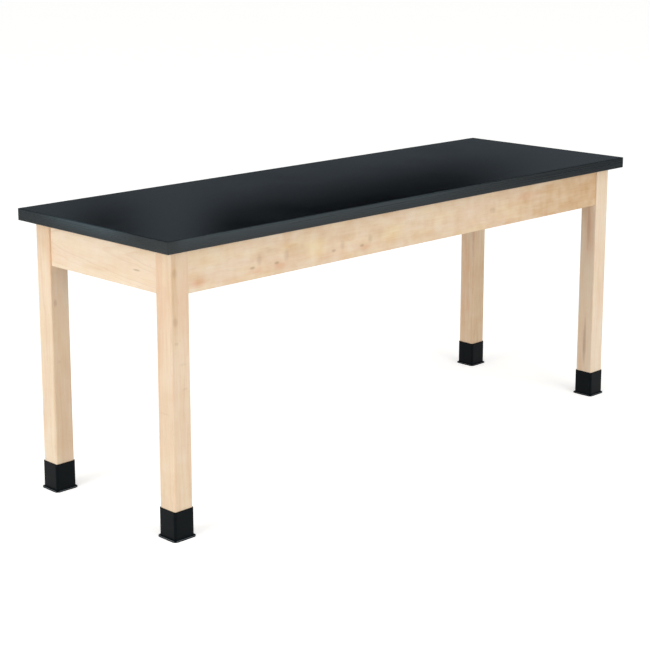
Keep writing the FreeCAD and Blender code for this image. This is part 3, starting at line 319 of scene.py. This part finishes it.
def pressed_laminate(top):
    """High-pressure laminate, black throughout, pressed against a suede-finish plate.

    It is a slate black that goes soft grey where it mirrors a pale wall, with no sharp reflection, and with
    faint clouds where it has been wiped."""
    material, tree = new_tree("pressed_black_laminate")
    place = add(tree, "TexCoord").outputs["Object"]
    # Wiping clouds, about 180 mm across
    clouds = add(tree, "TexNoise", {"Scale": 1 / (180 * MM), "Detail": 4.0, "Roughness": 0.55},
                 {"Vector": place}).outputs["Fac"]
    # The plate's grain is 0.3 mm wide; drawn at 3 mm so that it shows
    grain = add(tree, "TexNoise", {"Scale": 1 / (3.0 * MM), "Detail": 2.0}, {"Vector": place}).outputs["Fac"]
    colour = add(tree, "Mix", {"data_type": "RGBA", 6: top.laminate_dark, 7: top.laminate_pale},
                 {0: clouds}).outputs[2]
    roughness = add(tree, "MapRange", {**NOISE_SPAN, 3: 0.09, 4: 0.13}, {0: clouds}).outputs[0]
    bump = add(tree, "Bump", {"Strength": 0.1, "Distance": 0.02 * MM}, {"Height": grain}).outputs[0]
    shader = add(tree, "BsdfPrincipled", {"IOR": 1.5, "Specular IOR Level": top.laminate_gloss},
                 {"Base Color": colour, "Roughness": roughness, "Normal": bump})
    finish_material(tree, shader)
    return material


def extruded_band(top):
    """Black vinyl edge band, extruded, trimmed and buffed.

    It is a little greyer and glossier than the top, with faint lines along its length from the die."""
    material, tree = new_tree("extruded_black_band")
    place = add(tree, "TexCoord").outputs["Object"]
    # Die lines, long along the band; the real ones are about 1 mm apart up it, drawn 2.5 mm apart so that they show
    die_place = add(tree, "Mapping", {3: (1 / (400 * MM), 1 / (400 * MM), 1 / (2.5 * MM))}, {0: place}).outputs[0]
    die_lines = add(tree, "TexNoise", {"Scale": 1.0, "Detail": 2.0}, {"Vector": die_place}).outputs["Fac"]
    clouds = add(tree, "TexNoise", {"Scale": 1 / (90 * MM), "Detail": 3.0}, {"Vector": place}).outputs["Fac"]
    colour = add(tree, "Mix", {"data_type": "RGBA", 6: top.band_dark, 7: top.band_pale}, {0: clouds}).outputs[2]
    # Painted sheen: paler towards the upper edge of the front and left bands, standing in for their highlight and
    # reflections, but not beside the corner between them. The painted sheen ends within 1.5 mm behind a band's face
    split = add(tree, "SeparateXYZ", links={0: place})
    painted_sheen = add(tree, "MapRange", BAND_SHEEN_RISE, {0: split.outputs["Z"]}).outputs[0]
    painted_highlight = []
    for along, half_length, stops, across, half_width in (("X", TOP_HALF[0], FRONT_BAND_SHEEN, "Y", TOP_HALF[1]),
                                                          ("Y", TOP_HALF[1], LEFT_BAND_SHEEN, "X", TOP_HALF[0])):
        reach = add(tree, "MapRange", {1: -half_length * MM, 2: half_length * MM},
                    {0: split.outputs[along]}).outputs[0]
        sheen_along = add(tree, "ValToRGB", {"stops": stops}, {0: reach}).outputs[0]
        face = add(tree, "MapRange", {1: (0.1 - half_width) * MM, 2: (1.5 - half_width) * MM, 3: 1.0, 4: 0.0},
                   {0: split.outputs[across]}).outputs[0]
        painted_highlight.append(add(tree, "Math", {"operation": "MULTIPLY"}, {0: sheen_along, 1: face}).outputs[0])
    either = add(tree, "Math", {"operation": "MAXIMUM"}, {0: painted_highlight[0], 1: painted_highlight[1]}).outputs[0]
    painted_sheen = add(tree, "Math", {"operation": "MULTIPLY"}, {0: painted_sheen, 1: either}).outputs[0]
    colour = add(tree, "Mix", {"data_type": "RGBA", 7: top.band_painted_sheen}, {0: painted_sheen, 6: colour}).outputs[2]
    roughness = add(tree, "MapRange", {**NOISE_SPAN, 3: 0.24, 4: 0.34}, {0: die_lines}).outputs[0]
    bump = add(tree, "Bump", {"Strength": 0.2, "Distance": 0.05 * MM}, {"Height": die_lines}).outputs[0]
    shader = add(tree, "BsdfPrincipled", {"IOR": 1.5}, {"Base Color": colour, "Roughness": roughness, "Normal": bump})
    finish_material(tree, shader)
    return material


def pressed_chipboard():
    """Chipboard: flat wood chips about 5 mm long pressed in resin, which show as pale and dark specks."""
    material, tree = new_tree("pressed_chipboard")
    place = add(tree, "TexCoord").outputs["Object"]
    chips = add(tree, "TexVoronoi", {"Scale": 1 / (5 * MM)}, {"Vector": place}).outputs["Color"]
    tone = add(tree, "SeparateXYZ", links={0: chips}).outputs["X"]
    colour = add(tree, "Mix", {"data_type": "RGBA", 6: linear("#8F6E48"), 7: linear("#D3B88C")}, {0: tone}).outputs[2]
    bump = add(tree, "Bump", {"Strength": 0.4, "Distance": 0.3 * MM}, {"Height": tone}).outputs[0]
    shader = add(tree, "BsdfPrincipled", {"Roughness": 0.85}, {"Base Color": colour, "Normal": bump})
    finish_material(tree, shader)
    return material


def kraft_backer():
    """Phenolic kraft sheet, sanded on the glue side: plain dark brown with fine long fibres."""
    material, tree = new_tree("kraft_backer")
    place = add(tree, "TexCoord").outputs["Object"]
    # Fibres 2 mm wide and 60 mm long; the real ones are far finer and would not show
    fibre_place = add(tree, "Mapping", {3: (1 / (60 * MM), 1 / (2 * MM), 1 / (2 * MM))}, {0: place}).outputs[0]
    fibres = add(tree, "TexNoise", {"Scale": 1.0, "Detail": 3.0}, {"Vector": fibre_place}).outputs["Fac"]
    colour = add(tree, "Mix", {"data_type": "RGBA", 6: linear("#4A3726"), 7: linear("#6B5139")},
                 {0: fibres}).outputs[2]
    shader = add(tree, "BsdfPrincipled", {"Roughness": 0.6}, {"Base Color": colour})
    finish_material(tree, shader)
    return material


def moulded_rubber(boots):
    """Black rubber, compression moulded in a blasted mould.

    It is an even near-black with a soft sheen that pales on flat faces and goes dark round the corners."""
    material, tree = new_tree("moulded_black_rubber")
    place = add(tree, "TexCoord").outputs["Object"]
    # The mould's blasted grain is 0.2 mm; drawn at 1 mm so that it shows
    grain = add(tree, "TexNoise", {"Scale": 1 / (1.0 * MM), "Detail": 2.0}, {"Vector": place}).outputs["Fac"]
    clouds = add(tree, "TexNoise", {"Scale": 1 / (25 * MM), "Detail": 3.0}, {"Vector": place}).outputs["Fac"]
    colour = add(tree, "Mix", {"data_type": "RGBA", 6: boots.dark, 7: boots.pale}, {0: clouds}).outputs[2]
    # A painted highlight, grey along the flange's upper edge where it catches the light. The four boots share one
    # pattern, so the distance from a leg's middle is taken on either side of the table's own middle
    split = add(tree, "SeparateXYZ", links={0: place})
    beside = []
    for axis, middle in (("X", LEG_MIDDLE[0]), ("Y", LEG_MIDDLE[1])):
        side = add(tree, "Math", {"operation": "ABSOLUTE"}, {0: split.outputs[axis]}).outputs[0]
        side = add(tree, "Math", {"operation": "SUBTRACT", 1: middle * MM}, {0: side}).outputs[0]
        beside.append(add(tree, "Math", {"operation": "ABSOLUTE"}, {0: side}).outputs[0])
    out = add(tree, "Math", {"operation": "MAXIMUM"}, {0: beside[0], 1: beside[1]}).outputs[0]
    out = add(tree, "MapRange", FLANGE_HIGHLIGHT_OUT, {0: out}).outputs[0]
    up = add(tree, "MapRange", FLANGE_HIGHLIGHT_UP, {0: split.outputs["Z"]}).outputs[0]
    painted_highlight = add(tree, "Math", {"operation": "MULTIPLY"}, {0: out, 1: up}).outputs[0]
    colour = add(tree, "Mix", {"data_type": "RGBA", 7: boots.painted_highlight}, {0: painted_highlight, 6: colour}).outputs[2]
    roughness = add(tree, "MapRange", {**NOISE_SPAN, 3: 0.32, 4: 0.42}, {0: clouds}).outputs[0]
    bump = add(tree, "Bump", {"Strength": 0.2, "Distance": 0.08 * MM}, {"Height": grain}).outputs[0]
    shader = add(tree, "BsdfPrincipled", {"IOR": 1.52, "Specular IOR Level": 0.07},
                 {"Base Color": colour, "Roughness": roughness, "Normal": bump})
    finish_material(tree, shader)
    return material


def galvanised_steel():
    """Hot-dip galvanised sheet steel, pressed: dull silver with zinc crystals about 12 mm across."""
    material, tree = new_tree("galvanised_steel")
    place = add(tree, "TexCoord").outputs["Object"]
    crystals = add(tree, "TexVoronoi", {"Scale": 1 / (12 * MM)}, {"Vector": place}).outputs["Color"]
    tone = add(tree, "SeparateXYZ", links={0: crystals}).outputs["X"]
    colour = add(tree, "Mix", {"data_type": "RGBA", 6: linear("#A9ACAA"), 7: linear("#C3C5C2")}, {0: tone}).outputs[2]
    roughness = add(tree, "MapRange", {3: 0.34, 4: 0.52}, {0: tone}).outputs[0]
    shader = add(tree, "BsdfPrincipled", {"Metallic": 1.0}, {"Base Color": colour, "Roughness": roughness})
    finish_material(tree, shader)
    return material


def zinc_plate():
    """Bright zinc plating on rolled or headed steel: pale silver with a faint warm and cool haze."""
    material, tree = new_tree("zinc_plated_steel")
    place = add(tree, "TexCoord").outputs["Object"]
    haze = add(tree, "TexNoise", {"Scale": 1 / (6 * MM), "Detail": 2.0}, {"Vector": place}).outputs["Fac"]
    colour = add(tree, "Mix", {"data_type": "RGBA", 6: linear("#C9C6B8"), 7: linear("#BFC4C8")}, {0: haze}).outputs[2]
    roughness = add(tree, "MapRange", {**NOISE_SPAN, 3: 0.24, 4: 0.38}, {0: haze}).outputs[0]
    shader = add(tree, "BsdfPrincipled", {"Metallic": 1.0}, {"Base Color": colour, "Roughness": roughness})
    finish_material(tree, shader)
    return material


def moulded_nylon():
    """Glass-filled nylon, injection moulded: dark grey and slightly waxy."""
    material, tree = new_tree("moulded_nylon")
    place = add(tree, "TexCoord").outputs["Object"]
    flow = add(tree, "TexNoise", {"Scale": 1 / (8 * MM), "Detail": 3.0, "Distortion": 1.0},
               {"Vector": place}).outputs["Fac"]
    colour = add(tree, "Mix", {"data_type": "RGBA", 6: linear("#2B2B2A"), 7: linear("#3A3A38")}, {0: flow}).outputs[2]
    roughness = add(tree, "MapRange", {**NOISE_SPAN, 3: 0.4, 4: 0.5}, {0: flow}).outputs[0]
    shader = add(tree, "BsdfPrincipled", {"IOR": 1.53}, {"Base Color": colour, "Roughness": roughness})
    finish_material(tree, shader)
    return material


class WoodSettings(bpy.types.PropertyGroup):
    """Colours and grain of the maple."""
    sapwood: bpy.props.FloatVectorProperty(name="Sapwood", description="Palest wood", subtype="COLOR", size=4,
                                           default=linear("#F5E1C8"))
    tan: bpy.props.FloatVectorProperty(name="Tan wood", description="Warmer wood", subtype="COLOR", size=4,
                                       default=linear("#D9B68D"))
    rosy: bpy.props.FloatVectorProperty(name="Rosy wood", description="Rosy clouds", subtype="COLOR", size=4,
                                        default=linear("#E4B796"))
    # Painted shade with warm bounce light, laid on the legs' inner faces under the table
    warm_shade: bpy.props.FloatVectorProperty(name="Amber wood", description="Warmer faces", subtype="COLOR", size=4,
                                         default=linear("#F0BE8A"))
    creamy: bpy.props.FloatVectorProperty(name="Creamy wood", description="Yellower clouds", subtype="COLOR", size=4,
                                          default=linear("#F0D7A8"))
    growth_line: bpy.props.FloatVectorProperty(name="Growth line", description="Dark side of a ring", subtype="COLOR",
                                               size=4, default=linear("#BF9468"))
    streak: bpy.props.FloatVectorProperty(name="Streak", description="Mineral streaks", subtype="COLOR", size=4,
                                          default=linear("#B58E69"))
    fleck: bpy.props.FloatVectorProperty(name="Fleck", description="Short ray flecks", subtype="COLOR", size=4,
                                         default=linear("#B98F66"))
    knot: bpy.props.FloatVectorProperty(name="Knot", description="Pin knots and dark clouds", subtype="COLOR", size=4,
                                        default=linear("#86552F"))
    ring_width: bpy.props.FloatProperty(name="Ring width", description="Wood grown in one year", unit="LENGTH",
                                        default=8.5 * MM, min=1 * MM, max=20 * MM)


class TopSettings(bpy.types.PropertyGroup):
    """Colours and sheen of the top."""
    laminate_dark: bpy.props.FloatVectorProperty(name="Laminate", description="Darker clouds", subtype="COLOR",
                                                 size=4, default=linear("#090D0F"))
    laminate_pale: bpy.props.FloatVectorProperty(name="Laminate, pale", description="Paler clouds", subtype="COLOR",
                                                 size=4, default=linear("#0F1316"))
    laminate_gloss: bpy.props.FloatProperty(name="Sheen", description="How much the face reflects", subtype="FACTOR",
                                            default=0.5, min=0.0, max=1.0)
    band_dark: bpy.props.FloatVectorProperty(name="Band", description="Darker clouds", subtype="COLOR", size=4,
                                             default=linear("#091215"))
    # A painted sheen on the bands' upper edges, standing in for their highlight and reflections
    band_painted_sheen: bpy.props.FloatVectorProperty(name="Band, worn", description="Its upper edge", subtype="COLOR", size=4,
                                             default=linear("#3A4C53"))
    band_pale: bpy.props.FloatVectorProperty(name="Band, pale", description="Paler clouds", subtype="COLOR", size=4,
                                             default=linear("#101B1F"))


class BootSettings(bpy.types.PropertyGroup):
    """Colours of the boots."""
    dark: bpy.props.FloatVectorProperty(name="Rubber", description="Darker clouds", subtype="COLOR", size=4,
                                        default=linear("#04090C"))
    pale: bpy.props.FloatVectorProperty(name="Rubber, pale", description="Paler clouds", subtype="COLOR", size=4,
                                        default=linear("#081014"))
    # A painted highlight along the flange's upper edge
    painted_highlight: bpy.props.FloatVectorProperty(name="Rubber, rubbed", description="The flange's edge", subtype="COLOR",
                                          size=4, default=linear("#7A8286"))


class StageSettings(bpy.types.PropertyGroup):
    """Camera and light."""
    camera_place: bpy.props.FloatVectorProperty(name="Camera", description="Where the camera stands",
                                                subtype="XYZ_LENGTH", size=3, default=(-3.2675, -3.1861, 1.5364))
    camera_bearing: bpy.props.FloatProperty(name="Bearing", description="From straight back towards the right",
                                            subtype="ANGLE", default=math.radians(44.897))
    camera_dip: bpy.props.FloatProperty(name="Dip", description="How far the camera looks down", subtype="ANGLE",
                                        default=math.radians(11.738))
    focal_length: bpy.props.FloatProperty(name="Focal length", description="On a 36 mm sensor",
                                          subtype="DISTANCE_CAMERA", default=89.79)
    rise: bpy.props.FloatProperty(name="Rise", description="Lens shift upwards, as a share of the frame",
                                  default=-0.1308)
    sky: bpy.props.FloatProperty(name="Sky", description="Even light from all round", default=0.6, min=0.0)
    key: bpy.props.FloatProperty(name="Key", description="Soft light from the left", subtype="POWER", default=90.0,
                                 min=0.0)
    fill: bpy.props.FloatProperty(name="Fill", description="Soft light from the front", subtype="POWER", default=99.0,
                                  min=0.0)
    cloth: bpy.props.FloatProperty(name="Cloth", description="Light of the dark cloth in reflections", default=0.129,
                                   min=0.0)


class LABTABLE_OT_top(bpy.types.Operator):
    """Finishes the laminate, its edge bands, the core and the backer"""
    bl_idname = "labtable.top"
    bl_label = "Top"

    def execute(self, context):
        top = context.scene.lab_top
        dress("top_laminate", pressed_laminate(top))
        band = extruded_band(top)
        for side in SIDES:
            dress(f"edge_band_{side}", band)
        dress("top_core", pressed_chipboard())
        dress("top_backer", kraft_backer())
        return {"FINISHED"}


class LABTABLE_OT_legs(bpy.types.Operator):
    """Finishes the four legs"""
    bl_idname = "labtable.legs"
    bl_label = "Legs"

    def execute(self, context):
        for corner in CORNERS:
            name = f"leg_{corner}"
            dress(name, lacquered_maple(name, context.scene.lab_wood))
        return {"FINISHED"}


class LABTABLE_OT_aprons(bpy.types.Operator):
    """Finishes the four aprons"""
    bl_idname = "labtable.aprons"
    bl_label = "Aprons"

    def execute(self, context):
        for side in SIDES:
            name = f"apron_{side}"
            dress(name, lacquered_maple(name, context.scene.lab_wood))
        return {"FINISHED"}


class LABTABLE_OT_inner_wood(bpy.types.Operator):
    """Finishes the rail and the cleats behind the aprons"""
    bl_idname = "labtable.inner_wood"
    bl_label = "Rail and cleats"

    def execute(self, context):
        names = ["cross_rail", "cleat_left_end", "cleat_right_end"] + [f"cleat_{corner}" for corner in CORNERS]
        for name in names:
            dress(name, lacquered_maple(name, context.scene.lab_wood))
        return {"FINISHED"}


class LABTABLE_OT_boots(bpy.types.Operator):
    """Finishes the boots"""
    bl_idname = "labtable.boots"
    bl_label = "Boots"

    def execute(self, context):
        rubber = moulded_rubber(context.scene.lab_boots)
        for corner in CORNERS:
            dress(f"boot_{corner}", rubber)
        return {"FINISHED"}


class LABTABLE_OT_fittings(bpy.types.Operator):
    """Finishes the corner braces, bolts, screws and levelling glides"""
    bl_idname = "labtable.fittings"
    bl_label = "Fittings"

    def execute(self, context):
        steel = galvanised_steel()
        zinc = zinc_plate()
        nylon = moulded_nylon()
        for corner in CORNERS:
            dress(f"corner_brace_{corner}", steel)
            dress(f"glide_pad_{corner}", nylon)
            dress(f"glide_stem_{corner}", zinc)
        for group in ("hanger_bolts", "brace_washers", "brace_nuts", "brace_screws", "cleat_screws", "top_screws",
                      "insert_nuts"):
            dress(group, zinc)
        return {"FINISHED"}


class LABTABLE_OT_stage(bpy.types.Operator):
    """Sets the floor, the light and the camera"""
    bl_idname = "labtable.stage"
    bl_label = "Stage"

    def execute(self, context):
        stage = context.scene.lab_stage
        make_floor()
        make_sky(context.scene, stage.sky)
        hang_dark_cloth(stage.cloth)
        make_lamp("key_light", place=(-5.0, 0.2, 1.5), target=(0.0, 0.0, 0.4), size=(3.0, 2.4), power=stage.key)
        make_lamp("fill_light", place=(0.2, -5.2, 1.6), target=(-0.2, 0.0, 0.4), size=(4.0, 2.4), power=stage.fill)
        make_camera(context.scene, stage)
        context.scene.view_settings.view_transform = "Standard"
        return {"FINISHED"}


def seen_directly(tree):
    """1 for rays that show the background as it is: straight, mirrored or through glass."""
    path = add(tree, "LightPath")
    mirrored = add(tree, "Math", {"operation": "MAXIMUM"},
                   {0: path.outputs["Is Camera Ray"], 1: path.outputs["Is Glossy Ray"]}).outputs[0]
    return add(tree, "Math", {"operation": "MAXIMUM"},
               {0: mirrored, 1: path.outputs["Is Transmission Ray"]}).outputs[0]


def make_floor():
    """Pale studio floor, painted matt white, wide enough to reach the horizon in every view."""
    half = 40.0
    mesh = bpy.data.meshes.new("floor")
    mesh.from_pydata([(-half, -half, 0), (half, -half, 0), (half, half, 0), (-half, half, 0)], [], [(0, 1, 2, 3)])
    floor = bpy.data.objects.new("floor", mesh)
    bpy.context.collection.objects.link(floor)
    material, tree = new_tree("matt_white_floor")
    paint = add(tree, "BsdfDiffuse", {"Color": linear("#EDEDEB"), "Roughness": 0.5})
    lift = add(tree, "Math", {"operation": "MULTIPLY", 1: FLOOR_GLOW}, {0: seen_directly(tree)}).outputs[0]
    glow = add(tree, "Emission", {"Color": (1, 1, 1, 1)}, {"Strength": lift})
    both = add(tree, "AddShader", links={0: paint.outputs[0], 1: glow.outputs[0]})
    finish_material(tree, both)
    mesh.materials.append(material)


def hang_dark_cloth(level):
    """Dark cloth all round the set, 4.25 m from its middle, which only reflections see.

    It keeps the black top black from every side, as in a studio whose walls are dark. Behind each corner of the
    table it has a black gap over a paler foot, and beside the gap a black patch, which give the top the soft pools
    that a laminate shows."""
    steps, radius, height = 96, 4.25, 7.0
    turns = [2 * math.pi * step / steps for step in range(steps)]
    ring = [(radius * math.cos(angle), radius * math.sin(angle)) for angle in turns]
    mesh = bpy.data.meshes.new("dark_cloth")
    mesh.from_pydata([(x, y, z) for z in (0.0, height) for x, y in ring], [],
                     [(i, (i + 1) % steps, steps + (i + 1) % steps, steps + i) for i in range(steps)])
    cloth = bpy.data.objects.new("dark_cloth", mesh)
    bpy.context.collection.objects.link(cloth)
    material, tree = new_tree("dark_cloth")
    place = add(tree, "TexCoord").outputs["Object"]
    split = add(tree, "SeparateXYZ", links={0: place})
    # How far round each quarter of the ring, from 0 to 1, and how dark the gap is there
    turn = add(tree, "Math", {"operation": "ARCTAN2"}, {0: split.outputs["Y"], 1: split.outputs["X"]}).outputs[0]
    quarter = add(tree, "Math", {"operation": "DIVIDE", 1: math.pi / 2}, {0: turn}).outputs[0]
    quarter = add(tree, "Math", {"operation": "FRACT"}, {0: quarter}).outputs[0]
    gap = add(tree, "ValToRGB", {"stops": ((0.31, 0.0), (0.42, 1.0), (0.585, 1.0), (0.635, 0.0))},
              {0: quarter}).outputs[0]
    # The gap starts about 1.5 m up, 0.2 m lower or higher as it goes round, and fades out under 2.9 m
    slant = add(tree, "Math", {"operation": "MULTIPLY", 1: 4.0}, {0: turn}).outputs[0]
    slant = add(tree, "Math", {"operation": "SINE"}, {0: slant}).outputs[0]
    over = add(tree, "Math", {"operation": "MULTIPLY_ADD", 1: 0.205}, {0: slant, 2: split.outputs["Z"]}).outputs[0]
    over = add(tree, "MapRange", {"interpolation_type": "SMOOTHSTEP", 1: 1.45, 2: 1.57}, {0: over}).outputs[0]
    under = add(tree, "MapRange", {"interpolation_type": "SMOOTHSTEP", 1: 2.2, 2: 2.9, 3: 1.0, 4: 0.0},
                {0: split.outputs["Z"]}).outputs[0]
    dark = add(tree, "Math", {"operation": "MULTIPLY"}, {0: gap, 1: over}).outputs[0]
    dark = add(tree, "Math", {"operation": "MULTIPLY"}, {0: dark, 1: under}).outputs[0]
    # The patch beside the gap: where its middle lies and its half sizes, round the quarter and up the cloth
    patch_middle, patch_size = (0.692, 1.71, 0), (0.055, 0.17, 1)
    patch = add(tree, "CombineXYZ", links={0: quarter, 1: split.outputs["Z"]}).outputs[0]
    patch = add(tree, "Mapping", {"vector_type": "TEXTURE", 1: patch_middle, 3: patch_size}, {0: patch}).outputs[0]
    patch = add(tree, "VectorMath", {"operation": "LENGTH"}, {0: patch}).outputs["Value"]
    patch = add(tree, "MapRange", {"interpolation_type": "SMOOTHSTEP", 3: 1.0, 4: 0.0}, {0: patch}).outputs[0]
    dark = add(tree, "Math", {"operation": "MAXIMUM"}, {0: dark, 1: patch}).outputs[0]
    strength = add(tree, "MapRange", {3: level, 4: 0.01 * level}, {0: dark}).outputs[0]
    finish_material(tree, add(tree, "Emission", {"Color": linear("#DCEDFC")}, {"Strength": strength}))
    mesh.materials.append(material)
    cloth.visible_camera = False
    cloth.visible_diffuse = False
    cloth.visible_shadow = False
    cloth.visible_transmission = False


def make_sky(scene, strength):
    """Even white light from all round, plain white where it is seen."""
    world = bpy.data.worlds.new("studio")
    scene.world = world
    world.use_nodes = True
    tree = world.node_tree
    tree.nodes.clear()
    level = add(tree, "MapRange", {3: strength, 4: 1.0}, {0: seen_directly(tree)}).outputs[0]
    light = add(tree, "Background", {"Color": (1, 1, 1, 1)}, {"Strength": level})
    add(tree, "OutputWorld", links={"Surface": light.outputs[0]})


def make_lamp(name, place, target, size, power):
    """A large soft lamp that faces a point."""
    lamp = bpy.data.lights.new(name, "AREA")
    lamp.shape = "RECTANGLE"
    lamp.size, lamp.size_y = size
    lamp.energy = power
    item = bpy.data.objects.new(name, lamp)
    item.location = place
    item.rotation_euler = (Vector(target) - Vector(place)).to_track_quat("-Z", "Y").to_euler()
    item.visible_camera = False
    bpy.context.collection.objects.link(item)


def make_camera(scene, stage):
    """The camera where the photograph was taken from."""
    data = bpy.data.cameras.new("camera")
    data.sensor_width = 36.0
    data.lens = stage.focal_length
    data.shift_y = stage.rise
    data.clip_start = 0.1
    data.clip_end = 200.0
    item = bpy.data.objects.new("camera", data)
    ahead = Vector((math.sin(stage.camera_bearing) * math.cos(stage.camera_dip),
                    math.cos(stage.camera_bearing) * math.cos(stage.camera_dip), -math.sin(stage.camera_dip)))
    item.location = stage.camera_place
    item.rotation_euler = ahead.to_track_quat("-Z", "Y").to_euler()
    bpy.context.collection.objects.link(item)
    scene.camera = item


class LABTABLE_PT_panel(bpy.types.Panel):
    """Lists the table's pieces in the sidebar"""
    bl_idname = "LABTABLE_PT_panel"
    bl_label = "Lab table"
    bl_space_type = "VIEW_3D"
    bl_region_type = "UI"
    bl_category = "Lab table"

    def draw(self, context):
        for operator in OPERATORS:
            self.layout.operator(operator.bl_idname)
        for group in GROUPS:
            settings = getattr(context.scene, group)
            for name in settings.bl_rna.properties.keys():
                if name not in ("rna_type", "name"):
                    self.layout.prop(settings, name)


OPERATORS = (LABTABLE_OT_top, LABTABLE_OT_legs, LABTABLE_OT_aprons, LABTABLE_OT_inner_wood, LABTABLE_OT_boots,
             LABTABLE_OT_fittings, LABTABLE_OT_stage)
GROUPS = {"lab_wood": WoodSettings, "lab_top": TopSettings, "lab_boots": BootSettings, "lab_stage": StageSettings}


def register():
    """Makes the settings, operators and panel known."""
    for item in (*GROUPS.values(), *OPERATORS, LABTABLE_PT_panel):
        bpy.utils.register_class(item)
    for name, group in GROUPS.items():
        setattr(bpy.types.Scene, name, bpy.props.PointerProperty(type=group))


def unregister():
    """Takes them away again."""
    for name in GROUPS:
        delattr(bpy.types.Scene, name)
    for item in (LABTABLE_PT_panel, *reversed(OPERATORS), *GROUPS.values()):
        bpy.utils.unregister_class(item)


def main():
    """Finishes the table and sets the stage."""
    register()
    for operator in OPERATORS:
        getattr(bpy.ops.labtable, operator.bl_idname.split(".")[1])()


if __name__ == "__main__":
    main()
